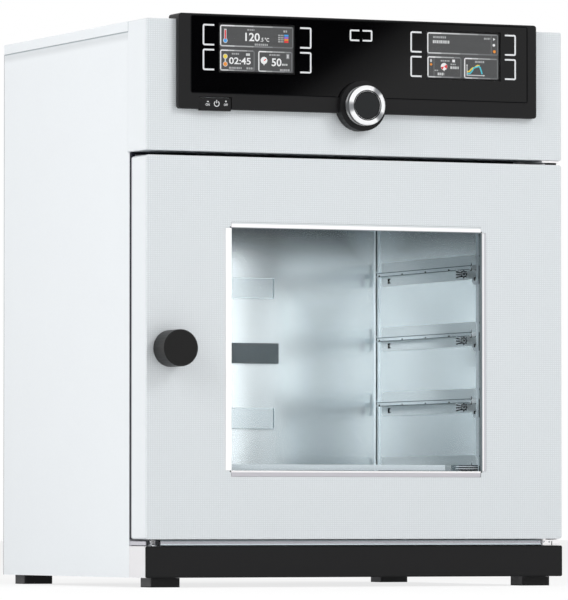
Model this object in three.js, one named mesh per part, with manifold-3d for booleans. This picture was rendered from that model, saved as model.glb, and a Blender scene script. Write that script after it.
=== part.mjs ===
// A bench-top vacuum drying oven with a glazed door and a control head, built piece by piece.
// Lengths are millimetres. X runs to the right, Y to the back and Z up from the bench.
// The door's front face lies at Y = 0 until the last lines move the origin to the footprint's middle.

import * as THREE from 'three';
import { mergeVertices } from 'three/addons/utils/BufferGeometryUtils.js';
import Module from 'manifold-3d';

const wasm = await Module();
wasm.setup();

// Driving sizes: general
const sheet = 1.5;            // casing sheet
const fit = 0.3;              // gap between neighbours
const overrun = 5;            // how far a cutter passes a face
const weld = 1e-4;            // vertices closer than this are one
const roundSteps = 32;        // sides of a turned piece
const smallSteps = 16;        // sides of a small turned piece
const cornerSteps = 2;        // half the sides of a rounded corner

// Driving sizes: chamber
const chamberWidth = 385;
const chamberHeight = 385;
const chamberDepth = 306;
const chamberWall = 5;
const chamberCorner = 8;
const flangeThickness = 8;
const flangeMargin = 11.5;    // flange outside the seal
const sealInset = 8;          // seal outside the chamber's mouth
const sealWidth = 8;
const jacketThickness = 22;   // insulation over and under the vessel
const rearSpace = 100;        // room for pipes behind the vessel

// Driving sizes: shelf rails and sockets
const railCount = 4;
const railPitch = 81.8;
const railDrop = 1.5;         // the stack's middle below the chamber's middle, at the plates' tops
const railHeight = 29.5;
const railSheet = 1.5;
const railCorner = 6;
const railFrontInset = 14;
const railRearInset = 17.8;
const ledgeFrontInset = 14;
const ledgeRearInset = 19;
const ledgeDrop = 12.4;       // ledge top below the plate's top
const ledgeHeight = 5.6;
const ledgeReach = 6;
const socketRise = 5.9;       // socket rows above the middle between two rails
const socketWidth = 108.4;
const socketHeight = 25.6;
const socketReach = 3;
const socketBodyMargin = 6;
const socketTail = 18;
const coverWidth = 97.2;
const coverHeight = 26;
const coverSheet = 2;

// Driving sizes: casing
const footHeight = 11.4;
const footWidth = 38;
const footDepth = 34;
const footInset = 11;
const footCorner = 3;
const plinthHeight = 37.4;
const plinthPlate = 2;
const plinthCorner = 2;
const panSheet = 2;
const frameSheet = 2;
const headBelowBezel = 49.9;
const headLap = 5;            // head casing behind the body's front face
const headCorner = 2;
const coverSkirt = 12;
const edgeRound = 1.2;

// Driving sizes: door
const doorThickness = 46;
const doorOverlap = 8.15;     // door outside the flange, over and under
const doorCorner = 3.5;
const gapBelowDoor = 8.1;
const gapAboveDoor = 5.4;
const windowDrop = 1.7;       // chamber and window below the door's middle
const windowSideInset = 27.3; // clear window inside the chamber's width
const windowEndInset = 47.9;  // clear window inside the chamber's height
const trimWidth = 7;
const trimRise = 1.2;         // how far the trim's inner edge stands proud of the door
const trimBacking = 8;
const trimSheet = 2;
const paneThickness = 4;
const paneInset = 4;          // pane inside the trim's backing
const glassThickness = 15;
const glassMargin = 3.5;      // inner glass outside the seal
const innerPlate = 2;
const collarSheet = 2;
const lipSheet = 2.5;
const lipCover = 8;

// Driving sizes: hinge
const pinRadius = 4;
const pinReach = 14;
const bushWall = 1.9;
const bushRim = 2;            // door steel left beside the bush
const bushLip = 0.7;
const upperArm = 2.4;
const lowerArm = 6.6;
const armOverhang = 4;        // arm beside and before the pin
const armReach = 11;          // arm on the pin's inner side
const bracketSheet = 2.7;
const bracketWidth = 34;
const bracketHeight = 30;
const swingClearance = 1.6;

// Driving sizes: door knob and latch
const knobRadius = 22;
const knobLength = 34;
const knobGap = 0.5;
const knobEdge = 1.5;
const knobBore = 20;
const knobDrop = 1.8;
const knobFromEdge = 31;
const spindleRadius = 5;
const spindleTail = 2;
const knobBushWall = 5;
const knobBushCollar = 3;
const camLength = 34;
const camRim = 2.2;
const camThickness = 4;
const camGap = 0.5;
const slotPlay = 3;
const keeperMargin = 3;
const keeperGap = 4;
const keeperSheet = 4;
const keeperLand = 8;
const latchRoom = 7;

// Driving sizes: rest roller
const rollerInset = 17;
const rollerSetback = 20;
const rollerWidth = 4;
const rollerPlate = 1.2;
const rollerAxle = 1;
const rollerEar = 1.8;
const rollerFootMargin = 3;

// Driving sizes: control panel
const bezelInset = 38.2;        // bezel's end in from the casing's side
const bezelHeight = 113.8;
const bezelProud = 9;
const bezelCorner = 3.5;
const bezelRise = 6.7;        // bezel over the head's top
const lipDepth = 22;
const glassSideInset = 13.9;
const glassTopInset = 2.2;
const glassBottomInset = 18.7;
const glassCorner = 3;
const panelGlass = 1.2;
const panelGlassSink = 0.2;
const displayWidth = 95.5;
const displayHeight = 54.6;
const displayOffset = 136.5;
const displayFromTop = 12.7;
const displayThickness = 9.2;
const openingMargin = 6;
const openingTopMargin = 1;
const boardThickness = 1.6;
const panelShift = 1.4;        // glass, displays and ring right of the middle
const bossRadius = 30.2;
const bossProud = 15;
const bossRise = 8.8;         // boss centre above the bezel's bottom
const ringRadius = 24;
const ringDepth = 11.4;
const ringGap = 1;
const ringEdge = 1.2;
const ringWeb = 2.5;
const hubRadius = 11;
const hubWall = 3;
const keyRadius = 16.75;
const keyInset = 0.8;
const keyEdge = 0.8;
const keyTravel = 1;
const encoderRadius = 16;
const encoderDepth = 14;
const switchWidth = 40;
const switchHeight = 15.3;
const switchDrop = 1.8;
const switchInset = 27.3;
const switchGap = 1.2;        // groove over the switch and on its right
const switchTravel = 3;
const switchStemWidth = 12;
const switchStemHeight = 7;
const switchStemReach = 8;

// Driving sizes: services
const pipeRadius = 8;
const pipeBore = 5;
const ventPipeRadius = 6;
const ventPipeBore = 3.5;
const pipeLength = 14;
const portInset = 70.7;       // line from the chamber's side wall
const portSpread = 60;
const valveWidth = 44;
const valveDepth = 36;
const ventValveWidth = 32;
const portReach = 25;
const portFlange = 15;
const portFlangeThickness = 3;
const ventPortFlange = 10;
const sensorRadius = 13;
const sensorLength = 52;
const inletWidth = 50;
const inletHeight = 25;
const inletPlate = 2.5;
const inletBodyWidth = 30;
const inletBodyHeight = 21;
const inletDepth = 20;
const inletWall = 2;
const inletFloor = 3;
const inletPinSpread = 7;
const inletPinWidth = 2;
const inletPinHeight = 4;
const inletPinSink = 3;
const inletInset = 85;        // inlet from the body's side
const inletRise = 60;
const powerWidth = 120;
const powerDepth = 26;
const powerHeight = 40;
const powerInset = 65;        // power unit from the body's side
const powerRearInset = 6;
const ventSlotCount = 14;
const ventSlotPitch = 24;
const ventSlotWidth = 8;
const ventSlotHeight = 46;
const ventSlotDrop = 34;

// Sizes and levels that follow
const chamberHalf = chamberWidth / 2;
const chamberHalfHeight = chamberHeight / 2;
const flangeWidth = sealInset + sealWidth + flangeMargin;
const keeperHalf = camLength / 2 + keeperMargin;
const knobFromFlange = keeperHalf + keeperGap;
const bodyHalf = chamberHalf + flangeWidth + knobFromFlange + knobFromEdge;
const doorHeight = chamberHeight + 2 * (flangeWidth + doorOverlap);

const panBottom = footHeight;
const plinthTop = panBottom + plinthHeight;
const doorBottom = plinthTop + gapBelowDoor;
const doorTop = doorBottom + doorHeight;
const doorMiddle = (doorBottom + doorTop) / 2;
const chamberMiddle = doorMiddle - windowDrop;
const headBottom = doorTop + gapAboveDoor;
const bezelBottom = headBottom + headBelowBezel;
const bezelTop = bezelBottom + bezelHeight;
const headTop = bezelTop - bezelRise;
const sideTop = headTop - coverSkirt - fit;

const bushHole = pinRadius + fit + bushWall + fit;
const hingeInset = sheet + bushRim + bushHole;
const hingeX = bodyHalf - hingeInset;
const hingeY = hingeInset;
const swingReach = hingeY + Math.hypot(hingeInset, doorThickness - hingeY);
const frontFace = swingReach + swingClearance + bracketSheet + fit;
const chamberBack = frontFace + chamberDepth;
const vesselBack = chamberBack + chamberWall;
const bodyDepth = vesselBack + rearSpace;
const headDepth = frontFace + headLap;
const rearInner = bodyDepth - sheet - fit;
const sideInner = bodyHalf - sheet - fit;

const windowHalf = chamberHalf - windowSideInset;
const windowHalfHeight = chamberHalfHeight - windowEndInset;
const glassHalf = chamberHalf + sealInset + sealWidth + glassMargin;
const glassHalfHeight = chamberHalfHeight + sealInset + sealWidth + glassMargin;

const knobX = -bodyHalf + knobFromEdge;
const knobZ = doorMiddle - knobDrop;
const keeperFront = frontFace + frameSheet + fit;
const camFront = keeperFront + keeperSheet + camGap;
const spindleEnd = camFront + camThickness + spindleTail;
const jacketFront = spindleEnd + latchRoom;
const camHalfWidth = spindleRadius + fit + camRim;
const slotHalfWidth = camHalfWidth + slotPlay;
const slotHalfHeight = camLength / 2 + slotPlay;
const knobBushRadius = spindleRadius + fit + knobBushWall;

const bezelHalf = bodyHalf - bezelInset;
const bossZ = bezelBottom + bossRise;
const displayTop = bezelTop - displayFromTop;
const displayBottom = displayTop - displayHeight;
const displayFront = -bezelProud + panelGlassSink + panelGlass + fit;
const boardFront = displayFront + displayThickness + fit;
const ringBack = -bossProud - ringGap;
const ringFront = ringBack - ringDepth;
const switchLeft = -bezelHalf + switchInset;
const switchBottom = bezelBottom - switchDrop;

const socketEnd = vesselBack + socketTail;
const portOffset = chamberHalf - portInset;
const inletOffset = bodyHalf - inletInset;
const powerOffset = bodyHalf - powerInset - powerWidth / 2;
const quarter = Math.PI / 2;

// Finishes
function finish(color, roughness, metalness) {
  return new THREE.MeshStandardMaterial({ color, roughness, metalness });
}

const texturedSteel = () => finish(0xdde3e6, 0.45, 0.6);
const whiteSteel = () => finish(0xf0f2f4, 0.5, 0.2);
const greySteel = () => finish(0xa9acb2, 0.5, 0.6);
const chamberSteel = () => finish(0xb4c2c7, 0.3, 0.8);
const brightSteel = () => finish(0xd8dadd, 0.25, 0.9);
const blackPlastic = () => finish(0x262626, 0.5, 0);
const blackRubber = () => finish(0x141414, 0.8, 0);
const trimWhite = () => finish(0xf2f0f1, 0.35, 0.3);
const insulationWool = () => finish(0xcfc39a, 1, 0);
const sealRubber = () => finish(0x8a2f2a, 0.7, 0);
const brass = () => finish(0xb08d4a, 0.35, 0.9);
const boardGreen = () => finish(0x1f5a3a, 0.6, 0);

function clearGlass() {
  const glass = finish(0xe8f2f2, 0.05, 0);
  glass.transparent = true;
  glass.opacity = 0.3;
  return glass;
}

// Solids that are cut or joined
function toSolid(geometry) {
  const bare = geometry.clone();
  bare.deleteAttribute('normal');
  bare.deleteAttribute('uv');
  const merged = mergeVertices(bare, weld);
  const corners = [];
  const index = merged.index.array;
  for (let i = 0; i < index.length; i += 3) {
    const [a, b, c] = [index[i], index[i + 1], index[i + 2]];
    if (a !== b && b !== c && c !== a) corners.push(a, b, c);
  }
  return new wasm.Manifold(new wasm.Mesh({
    numProp: 3,
    vertProperties: new Float32Array(merged.attributes.position.array),
    triVerts: new Uint32Array(corners),
  }));
}

function fromSolid(solid) {
  const { vertProperties, triVerts } = solid.getMesh();
  const geometry = new THREE.BufferGeometry();
  geometry.setAttribute('position', new THREE.BufferAttribute(new Float32Array(vertProperties), 3));
  geometry.setIndex(new THREE.BufferAttribute(new Uint32Array(triVerts), 1));
  geometry.computeVertexNormals();
  return geometry;
}

function cut(base, ...cutters) {
  return fromSolid(cutters.reduce((rest, cutter) => rest.subtract(toSolid(cutter)), toSolid(base)));
}

function join(base, ...others) {
  return fromSolid(others.reduce((whole, other) => whole.add(toSolid(other)), toSolid(base)));
}

function keepInside(base, limit) {
  return fromSolid(toSolid(base).intersect(toSolid(limit)));
}

// Outlines
function roundedRect(x0, x1, y0, y1, radius) {
  const shape = new THREE.Shape();
  shape.absarc(x1 - radius, y0 + radius, radius, -quarter, 0);
  shape.absarc(x1 - radius, y1 - radius, radius, 0, quarter);
  shape.absarc(x0 + radius, y1 - radius, radius, quarter, 2 * quarter);
  shape.absarc(x0 + radius, y0 + radius, radius, 2 * quarter, 3 * quarter);
  return shape;
}

function outline(points) {
  return new THREE.Shape(points.map(([x, y]) => new THREE.Vector2(x, y)));
}

function rect(x0, x1, y0, y1) {
  return outline([[x0, y0], [x1, y0], [x1, y1], [x0, y1]]);
}

function withHole(shape, hole) {
  shape.holes.push(hole);
  return shape;
}

// Basic bodies
function block(x0, x1, y0, y1, z0, z1) {
  const geometry = new THREE.BoxGeometry(x1 - x0, y1 - y0, z1 - z0);
  return geometry.translate((x0 + x1) / 2, (y0 + y1) / 2, (z0 + z1) / 2);
}

function extrude(shape, depth) {
  return new THREE.ExtrudeGeometry(shape, { depth, bevelEnabled: false, curveSegments: cornerSteps });
}

// An outline in X and Z, given thickness from y0 to y1
function frontPlate(shape, y0, y1) {
  return extrude(shape, y1 - y0).rotateX(quarter).translate(0, y1, 0);
}

// The same with its front edge rounded off
function softPlate(shape, y0, y1, round) {
  const geometry = new THREE.ExtrudeGeometry(shape, {
    depth: y1 - y0,
    bevelThickness: round,
    bevelSize: round,
    bevelOffset: -round,
    bevelSegments: 2,
    curveSegments: cornerSteps,
  });
  geometry.rotateX(quarter).translate(0, y1 + round, 0);
  geometry.computeBoundingBox();
  const { min, max } = geometry.boundingBox;
  return keepInside(geometry, block(min.x - overrun, max.x + overrun, min.y - overrun, y1,
    min.z - overrun, max.z + overrun));
}

// An outline in Y and Z, given thickness from x0 to x1
const turnToSide = new THREE.Matrix4().makeBasis(
  new THREE.Vector3(0, 1, 0),
  new THREE.Vector3(0, 0, 1),
  new THREE.Vector3(1, 0, 0),
);

function sidePlate(shape, x0, x1) {
  return extrude(shape, x1 - x0).applyMatrix4(turnToSide).translate(x0, 0, 0);
}

// An outline in X and Y, given thickness from z0 to z1
function floorPlate(shape, z0, z1) {
  return extrude(shape, z1 - z0).translate(0, 0, z0);
}

function rodX(radius, y, z, x0, x1, steps = smallSteps) {
  const geometry = new THREE.CylinderGeometry(radius, radius, x1 - x0, steps);
  return geometry.rotateZ(quarter).translate((x0 + x1) / 2, y, z);
}

function rodY(radius, x, z, y0, y1, steps = roundSteps) {
  const geometry = new THREE.CylinderGeometry(radius, radius, y1 - y0, steps);
  return geometry.translate(x, (y0 + y1) / 2, z);
}

function rodZ(radius, x, y, z0, z1, steps = smallSteps) {
  const geometry = new THREE.CylinderGeometry(radius, radius, z1 - z0, steps);
  return geometry.rotateX(quarter).translate(x, y, (z0 + z1) / 2);
}

// A profile of [radius, y] points, run outwards, back and in again, turned about a line along Y
function turnedY(points, x, z, steps = roundSteps) {
  const profile = points.map(([radius, y]) => new THREE.Vector2(radius, y));
  return new THREE.LatheGeometry(profile, steps).translate(x, 0, z);
}

function tubeY(outer, bore, x, z, y0, y1, steps = smallSteps) {
  return turnedY([[bore, y0], [outer, y0], [outer, y1], [bore, y1], [bore, y0]], x, z, steps);
}

function piece(parent, name, geometry, material) {
  const mesh = new THREE.Mesh(geometry, material);
  mesh.name = name;
  parent.add(mesh);
  return mesh;
}

// Casing: sheets, frame, head and feet
function buildCasing() {
  const casing = new THREE.Group();

  piece(casing, 'base_pan',
    block(-sideInner, sideInner, frontFace, rearInner, panBottom, panBottom + panSheet), greySteel());

  const sideOutline = outline([
    [frontFace, panBottom],
    [rearInner, panBottom],
    [rearInner, sideTop],
    [headDepth + fit, sideTop],
    [headDepth + fit, headBottom - fit],
    [frontFace, headBottom - fit],
  ]);
  piece(casing, 'left_side_panel', sidePlate(sideOutline, -bodyHalf, -bodyHalf + sheet), texturedSteel());
  piece(casing, 'right_side_panel', sidePlate(sideOutline, bodyHalf - sheet, bodyHalf), texturedSteel());

  const coverFront = headDepth + fit;
  const coverBottom = headTop - coverSkirt;
  piece(casing, 'top_cover', cut(
    block(-bodyHalf, bodyHalf, coverFront, bodyDepth, coverBottom, headTop),
    block(-bodyHalf + sheet, bodyHalf - sheet, coverFront - overrun, bodyDepth - sheet,
      coverBottom - overrun, headTop - sheet),
  ), texturedSteel());

  piece(casing, 'rear_panel', rearPanel(), greySteel());
  piece(casing, 'head_casing', headCasing(), texturedSteel());

  const plinthRear = frontFace - fit;
  const plinthFrontFace = plinthPlate + fit;
  piece(casing, 'plinth_block', cut(
    block(-bodyHalf, bodyHalf, plinthFrontFace, plinthRear, panBottom, plinthTop),
    block(-bodyHalf + sheet, bodyHalf - sheet, plinthFrontFace - overrun, plinthRear - sheet,
      panBottom + sheet, plinthTop - sheet),
  ), whiteSteel());
  piece(casing, 'plinth_front',
    frontPlate(roundedRect(-bodyHalf, bodyHalf, panBottom, plinthTop, plinthCorner), 0, plinthPlate),
    blackPlastic());

  piece(casing, 'front_frame', frontFrame(), greySteel());

  for (const [side, sign] of [['left', -1], ['right', 1]]) {
    const inner = sign * (bodyHalf - footInset - footWidth);
    const outer = sign * (bodyHalf - footInset);
    const [x0, x1] = [Math.min(inner, outer), Math.max(inner, outer)];
    for (const [end, y0] of [['front', footInset], ['rear', bodyDepth - footInset - footDepth]]) {
      piece(casing, `foot_${end}_${side}`,
        floorPlate(roundedRect(x0, x1, y0, y0 + footDepth, footCorner), 0, panBottom - fit), blackRubber());
    }
  }
  return casing;
}

function headCasing() {
  const shape = roundedRect(-bodyHalf, bodyHalf, headBottom, headTop, headCorner);
  const room = block(-bodyHalf + sheet, bodyHalf - sheet, sheet, headDepth + overrun,
    headBottom + sheet, headTop - sheet);
  const openingHalf = displayOffset + displayWidth / 2 + openingMargin;
  const opening = block(panelShift - openingHalf, panelShift + openingHalf, -overrun, sheet + overrun,
    displayBottom - openingMargin, displayTop + fit + openingTopMargin);
  const encoderHole = rodY(encoderRadius + fit, panelShift, bossZ, -overrun, sheet + overrun);
  const stem = switchStem(fit);
  const stemHole = block(stem.x0, stem.x1, -overrun, sheet + overrun, stem.z0, stem.z1);
  return cut(softPlate(shape, 0, headDepth, edgeRound), room, opening, encoderHole, stemHole);
}

function frontFrame() {
  const shape = rect(-sideInner, sideInner, panBottom + panSheet + fit, headBottom - fit);
  const mouthHalf = chamberHalf + flangeWidth + fit;
  const mouthHalfHeight = chamberHalfHeight + flangeWidth + fit;
  withHole(shape, roundedRect(-mouthHalf, mouthHalf, chamberMiddle - mouthHalfHeight,
    chamberMiddle + mouthHalfHeight, chamberCorner));
  withHole(shape, rect(knobX - slotHalfWidth, knobX + slotHalfWidth,
    knobZ - slotHalfHeight, knobZ + slotHalfHeight));
  return frontPlate(shape, frontFace, frontFace + frameSheet);
}

function rearPanel() {
  const [y0, y1] = [bodyDepth - sheet, bodyDepth];
  const opening = (x, halfWidth, z0, z1) => block(x - halfWidth, x + halfWidth,
    y0 - overrun, y1 + overrun, z0, z1);
  const slotTop = sideTop - ventSlotDrop;
  const slots = [];
  for (let i = 0; i < ventSlotCount; i += 1) {
    const x = (i - (ventSlotCount - 1) / 2) * ventSlotPitch;
    slots.push(opening(x, ventSlotWidth / 2, slotTop - ventSlotHeight, slotTop));
  }
  const inletZ = panBottom + inletRise;
  const inletHalfHeight = inletBodyHeight / 2 + fit;
  const inletHole = opening(-inletOffset, inletBodyWidth / 2 + fit,
    inletZ - inletHalfHeight, inletZ + inletHalfHeight);
  const pipeHoles = lines.map((line) => rodY(line.radius + fit, line.x, line.z,
    y0 - overrun, y1 + overrun, smallSteps));
  return cut(block(-bodyHalf, bodyHalf, y0, y1, panBottom, sideTop), inletHole, ...slots, ...pipeHoles);
}

// Chamber: vessel, insulation, seal, rails and sockets
const lines = [
  { name: 'vacuum', x: -portOffset, z: chamberMiddle - portSpread, radius: pipeRadius, bore: pipeBore,
    valve: valveWidth, flange: portFlange },
  { name: 'vent', x: -portOffset, z: chamberMiddle + portSpread, radius: ventPipeRadius, bore: ventPipeBore,
    valve: ventValveWidth, flange: ventPortFlange },
];
const sensorX = -portOffset;
const sensorZ = chamberMiddle;

function socketLevels() {
  const middle = chamberMiddle + socketRise;
  return [middle + railPitch, middle, middle - railPitch];
}

function buildChamber() {
  const chamber = new THREE.Group();
  const top = chamberMiddle + chamberHalfHeight;
  const bottom = chamberMiddle - chamberHalfHeight;

  const grown = (by, radius) => roundedRect(
    -chamberHalf - by, chamberHalf + by, bottom - by, top + by, radius);
  const vessel = frontPlate(grown(chamberWall, chamberCorner + chamberWall), frontFace, vesselBack);
  const flange = frontPlate(grown(flangeWidth, chamberCorner), frontFace, frontFace + flangeThickness);
  const cavity = frontPlate(grown(0, chamberCorner), frontFace - overrun, chamberBack);
  const socketRows = socketLevels();
  const socketHalf = socketWidth / 2 - socketBodyMargin;
  const socketHalfHeight = socketHeight / 2 - socketBodyMargin;
  const socketHole = block(-socketHalf - fit, socketHalf + fit, chamberBack - overrun, vesselBack + overrun,
    socketRows[1] - socketHalfHeight - fit, socketRows[1] + socketHalfHeight + fit);
  const pipeHoles = lines.map((line) => rodY(line.radius + fit, line.x, line.z,
    chamberBack - overrun, vesselBack + overrun, smallSteps));
  const sensorHole = rodY(ventPipeRadius + fit, sensorX, sensorZ,
    chamberBack - overrun, vesselBack + overrun, smallSteps);
  piece(chamber, 'chamber', cut(join(vessel, flange), cavity, socketHole, sensorHole, ...pipeHoles),
    chamberSteel());

  const jacketOuter = rect(-sideInner, sideInner, bottom - chamberWall - jacketThickness,
    top + chamberWall + jacketThickness);
  withHole(jacketOuter, grown(chamberWall + fit, chamberCorner + chamberWall + fit));
  piece(chamber, 'insulation_jacket', frontPlate(jacketOuter, jacketFront, vesselBack), insulationWool());

  const seal = grown(sealInset + sealWidth, chamberCorner);
  withHole(seal, grown(sealInset, chamberCorner));
  piece(chamber, 'door_seal', frontPlate(seal, doorThickness + fit, frontFace - fit), sealRubber());

  for (const [side, sign] of [['left', -1], ['right', 1]]) {
    for (let i = 0; i < railCount; i += 1) {
      const plateTop = chamberMiddle - railDrop + ((railCount - 1) / 2 - i) * railPitch;
      piece(chamber, `shelf_rail_${side}_${i + 1}`, shelfRail(sign, plateTop), chamberSteel());
    }
  }

  socketRows.forEach((z, i) => {
    if (i === 1) {
      const face = block(-socketWidth / 2, socketWidth / 2,
        chamberBack - fit - socketReach, chamberBack - fit,
        z - socketHeight / 2, z + socketHeight / 2);
      const tail = block(-socketHalf, socketHalf, chamberBack - fit - socketReach / 2, socketEnd,
        z - socketHalfHeight, z + socketHalfHeight);
      piece(chamber, 'shelf_socket', join(face, tail), blackPlastic());
    } else {
      piece(chamber, `socket_cover_${i + 1}`, block(-coverWidth / 2, coverWidth / 2,
        chamberBack - fit - coverSheet, chamberBack - fit, z - coverHeight / 2, z + coverHeight / 2),
      chamberSteel());
    }
  });
  return chamber;
}

// One rail: an upright plate on the chamber wall with a ledge that a shelf slides on
function shelfRail(sign, plateTop) {
  const wall = chamberHalf - fit;
  const plateInner = wall - railSheet;
  const ledgeInner = plateInner - ledgeReach;
  const plate = sidePlate(roundedRect(frontFace + railFrontInset, chamberBack - railRearInset,
    plateTop - railHeight, plateTop, railCorner), plateInner, wall);
  const ledgeTop = plateTop - ledgeDrop;
  const ledge = block(ledgeInner, plateInner + railSheet / 2, frontFace + ledgeFrontInset,
    chamberBack - ledgeRearInset, ledgeTop - ledgeHeight, ledgeTop);
  const rail = join(plate, ledge);
  return sign > 0 ? rail : mirrored(rail);
}

// A copy mirrored left to right, with its faces turned the right way again
function mirrored(geometry) {
  const copy = geometry.clone().scale(-1, 1, 1);
  const index = copy.index.array;
  for (let i = 0; i < index.length; i += 3) {
    [index[i], index[i + 1]] = [index[i + 1], index[i]];
  }
  copy.computeVertexNormals();
  return copy;
}

// Door: shell, window, glass and inner frame
function buildDoor() {
  const door = new THREE.Group();
  const shellBack = doorThickness - innerPlate - fit;
  const doorShape = () => roundedRect(-bodyHalf, bodyHalf, doorBottom, doorTop, doorCorner);

  const room = block(-bodyHalf + sheet, bodyHalf - sheet, sheet, shellBack + overrun,
    doorBottom + sheet, doorTop - sheet);
  const bushHoles = [[doorBottom - overrun, doorBottom + sheet + overrun],
    [doorTop - sheet - overrun, doorTop + overrun]];
  piece(door, 'door_shell', cut(
    softPlate(doorShape(), 0, shellBack, edgeRound),
    room,
    frontPlate(windowCross(fit), -overrun, sheet + overrun),
    rodY(knobBushRadius + fit, knobX, knobZ, -overrun, sheet + overrun, smallSteps),
    ...bushHoles.map(([z0, z1]) => rodZ(bushHole, hingeX, hingeY, z0, z1)),
  ), texturedSteel());

  piece(door, 'window_trim', windowTrim(), trimWhite());

  const paneFront = sheet + fit + trimSheet + fit;
  const paneGrow = trimWidth + trimBacking - paneInset;
  piece(door, 'outer_pane', block(-windowHalf - paneGrow, windowHalf + paneGrow,
    paneFront, paneFront + paneThickness,
    chamberMiddle - windowHalfHeight - paneGrow, chamberMiddle + windowHalfHeight + paneGrow), clearGlass());

  piece(door, 'inner_glass', block(-glassHalf, glassHalf, doorThickness - glassThickness, doorThickness,
    chamberMiddle - glassHalfHeight, chamberMiddle + glassHalfHeight), clearGlass());

  const around = (by) => rect(-glassHalf - by, glassHalf + by,
    chamberMiddle - glassHalfHeight - by, chamberMiddle + glassHalfHeight + by);
  const lipBack = doorThickness - glassThickness - fit;
  const lipFront = lipBack - lipSheet;
  const backPlate = frontPlate(doorShape(), doorThickness - innerPlate, doorThickness);
  const collar = frontPlate(around(fit + collarSheet), lipFront, doorThickness - innerPlate / 2);
  piece(door, 'door_inner_frame', cut(
    join(backPlate, collar),
    frontPlate(around(fit), lipBack, doorThickness + overrun),
    frontPlate(around(-lipCover), lipFront - overrun, doorThickness + overrun),
    rodY(knobBushRadius + fit, knobX, knobZ, doorThickness - innerPlate - overrun,
      doorThickness + overrun, smallSteps),
  ), greySteel());

  return door;
}

// The window opening with a strip of trim on each side and bare corners
function windowCross(grow) {
  const [ix, iz] = [windowHalf, windowHalfHeight];
  const [ox, oz] = [ix + trimWidth + grow, iz + trimWidth + grow];
  const points = [[ix, -oz], [ix, -iz], [ox, -iz], [ox, iz], [ix, iz], [ix, oz]];
  const mirroredPoints = points.map(([x, z]) => [-x, -z]);
  return outline([...points, ...mirroredPoints].map(([x, z]) => [x, z + chamberMiddle]));
}

// Four sloped strips on a thin backing frame
function windowTrim() {
  const backFront = sheet + fit;
  const back = backFront + trimSheet;
  const [ix, iz] = [windowHalf, windowHalfHeight];
  const grow = trimWidth + trimBacking;
  const backing = rect(-ix - grow, ix + grow, chamberMiddle - iz - grow, chamberMiddle + iz + grow);
  withHole(backing, rect(-ix - fit, ix + fit, chamberMiddle - iz - fit, chamberMiddle + iz + fit));
  const sunk = backFront + trimSheet / 2;
  const upright = (sign) => floorPlate(outline([
    [sign * ix, -trimRise], [sign * (ix + trimWidth), 0],
    [sign * (ix + trimWidth), sunk], [sign * ix, sunk],
  ]), chamberMiddle - iz + fit, chamberMiddle + iz - fit);
  const crossbar = (sign) => sidePlate(outline([
    [-trimRise, chamberMiddle + sign * iz], [0, chamberMiddle + sign * (iz + trimWidth)],
    [sunk, chamberMiddle + sign * (iz + trimWidth)], [sunk, chamberMiddle + sign * iz],
  ]), -ix + fit, ix - fit);
  return join(frontPlate(backing, backFront, back), upright(-1), upright(1), crossbar(-1), crossbar(1));
}

// Hinges: brackets and pins on the body, bushes in the door
function buildHinges(body, door) {
  const armX0 = hingeX - pinRadius - armReach;
  const armX1 = hingeX + pinRadius + armOverhang;
  const bracketBack = frontFace - fit;
  const bracketFront = bracketBack - bracketSheet;
  const pinHole = pinRadius + fit;

  const parts = [
    { end: 'upper', armBottom: headBottom - fit - upperArm, armTop: headBottom - fit,
      face: doorTop, sign: 1 },
    { end: 'lower', armBottom: plinthTop + fit, armTop: plinthTop + fit + lowerArm,
      face: doorBottom, sign: -1 },
  ];
  for (const { end, armBottom, armTop, face, sign } of parts) {
    const arm = block(armX0, armX1, hingeY - pinRadius - armOverhang, bracketBack, armBottom, armTop);
    const plate0 = sign > 0 ? armTop - bracketHeight : armBottom;
    const plate1 = plate0 + bracketHeight;
    const plate = block(armX1 - bracketWidth, armX1, bracketFront, bracketBack, plate0, plate1);
    const hole = rodZ(pinHole, hingeX, hingeY, armBottom - overrun, armTop + overrun);
    piece(body, `hinge_bracket_${end}`, cut(join(arm, plate), hole), brightSteel());

    const inside = face - sign * pinReach;
    const outside = sign > 0 ? armTop : armBottom;
    piece(body, `hinge_pin_${end}`,
      rodZ(pinRadius, hingeX, hingeY, Math.min(inside, outside), Math.max(inside, outside)), brightSteel());

    const lipNear = face + sign * fit;
    const lipFar = (sign > 0 ? armBottom : armTop) - sign * fit;
    const sleeveEnd = face - sign * pinReach;
    const sleeve = pinHole + bushWall;
    const lip = sleeve + bushLip;
    const [low, high] = [Math.min(sleeveEnd, lipFar), Math.max(sleeveEnd, lipFar)];
    const bush = sign > 0
      ? [[pinHole, low], [sleeve, low], [sleeve, lipNear], [lip, lipNear], [lip, high], [pinHole, high]]
      : [[pinHole, low], [lip, low], [lip, lipNear], [sleeve, lipNear], [sleeve, high], [pinHole, high]];
    piece(door, `hinge_bush_${end}`, turnedZ([...bush, bush[0]], hingeX, hingeY), blackPlastic());
  }
}

// A closed profile of [radius, z] points turned about an upright line
function turnedZ(points, x, y) {
  const profile = points.map(([radius, z]) => new THREE.Vector2(radius, z));
  const geometry = new THREE.LatheGeometry(profile, smallSteps);
  return geometry.rotateX(quarter).translate(x, y, 0);
}

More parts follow.
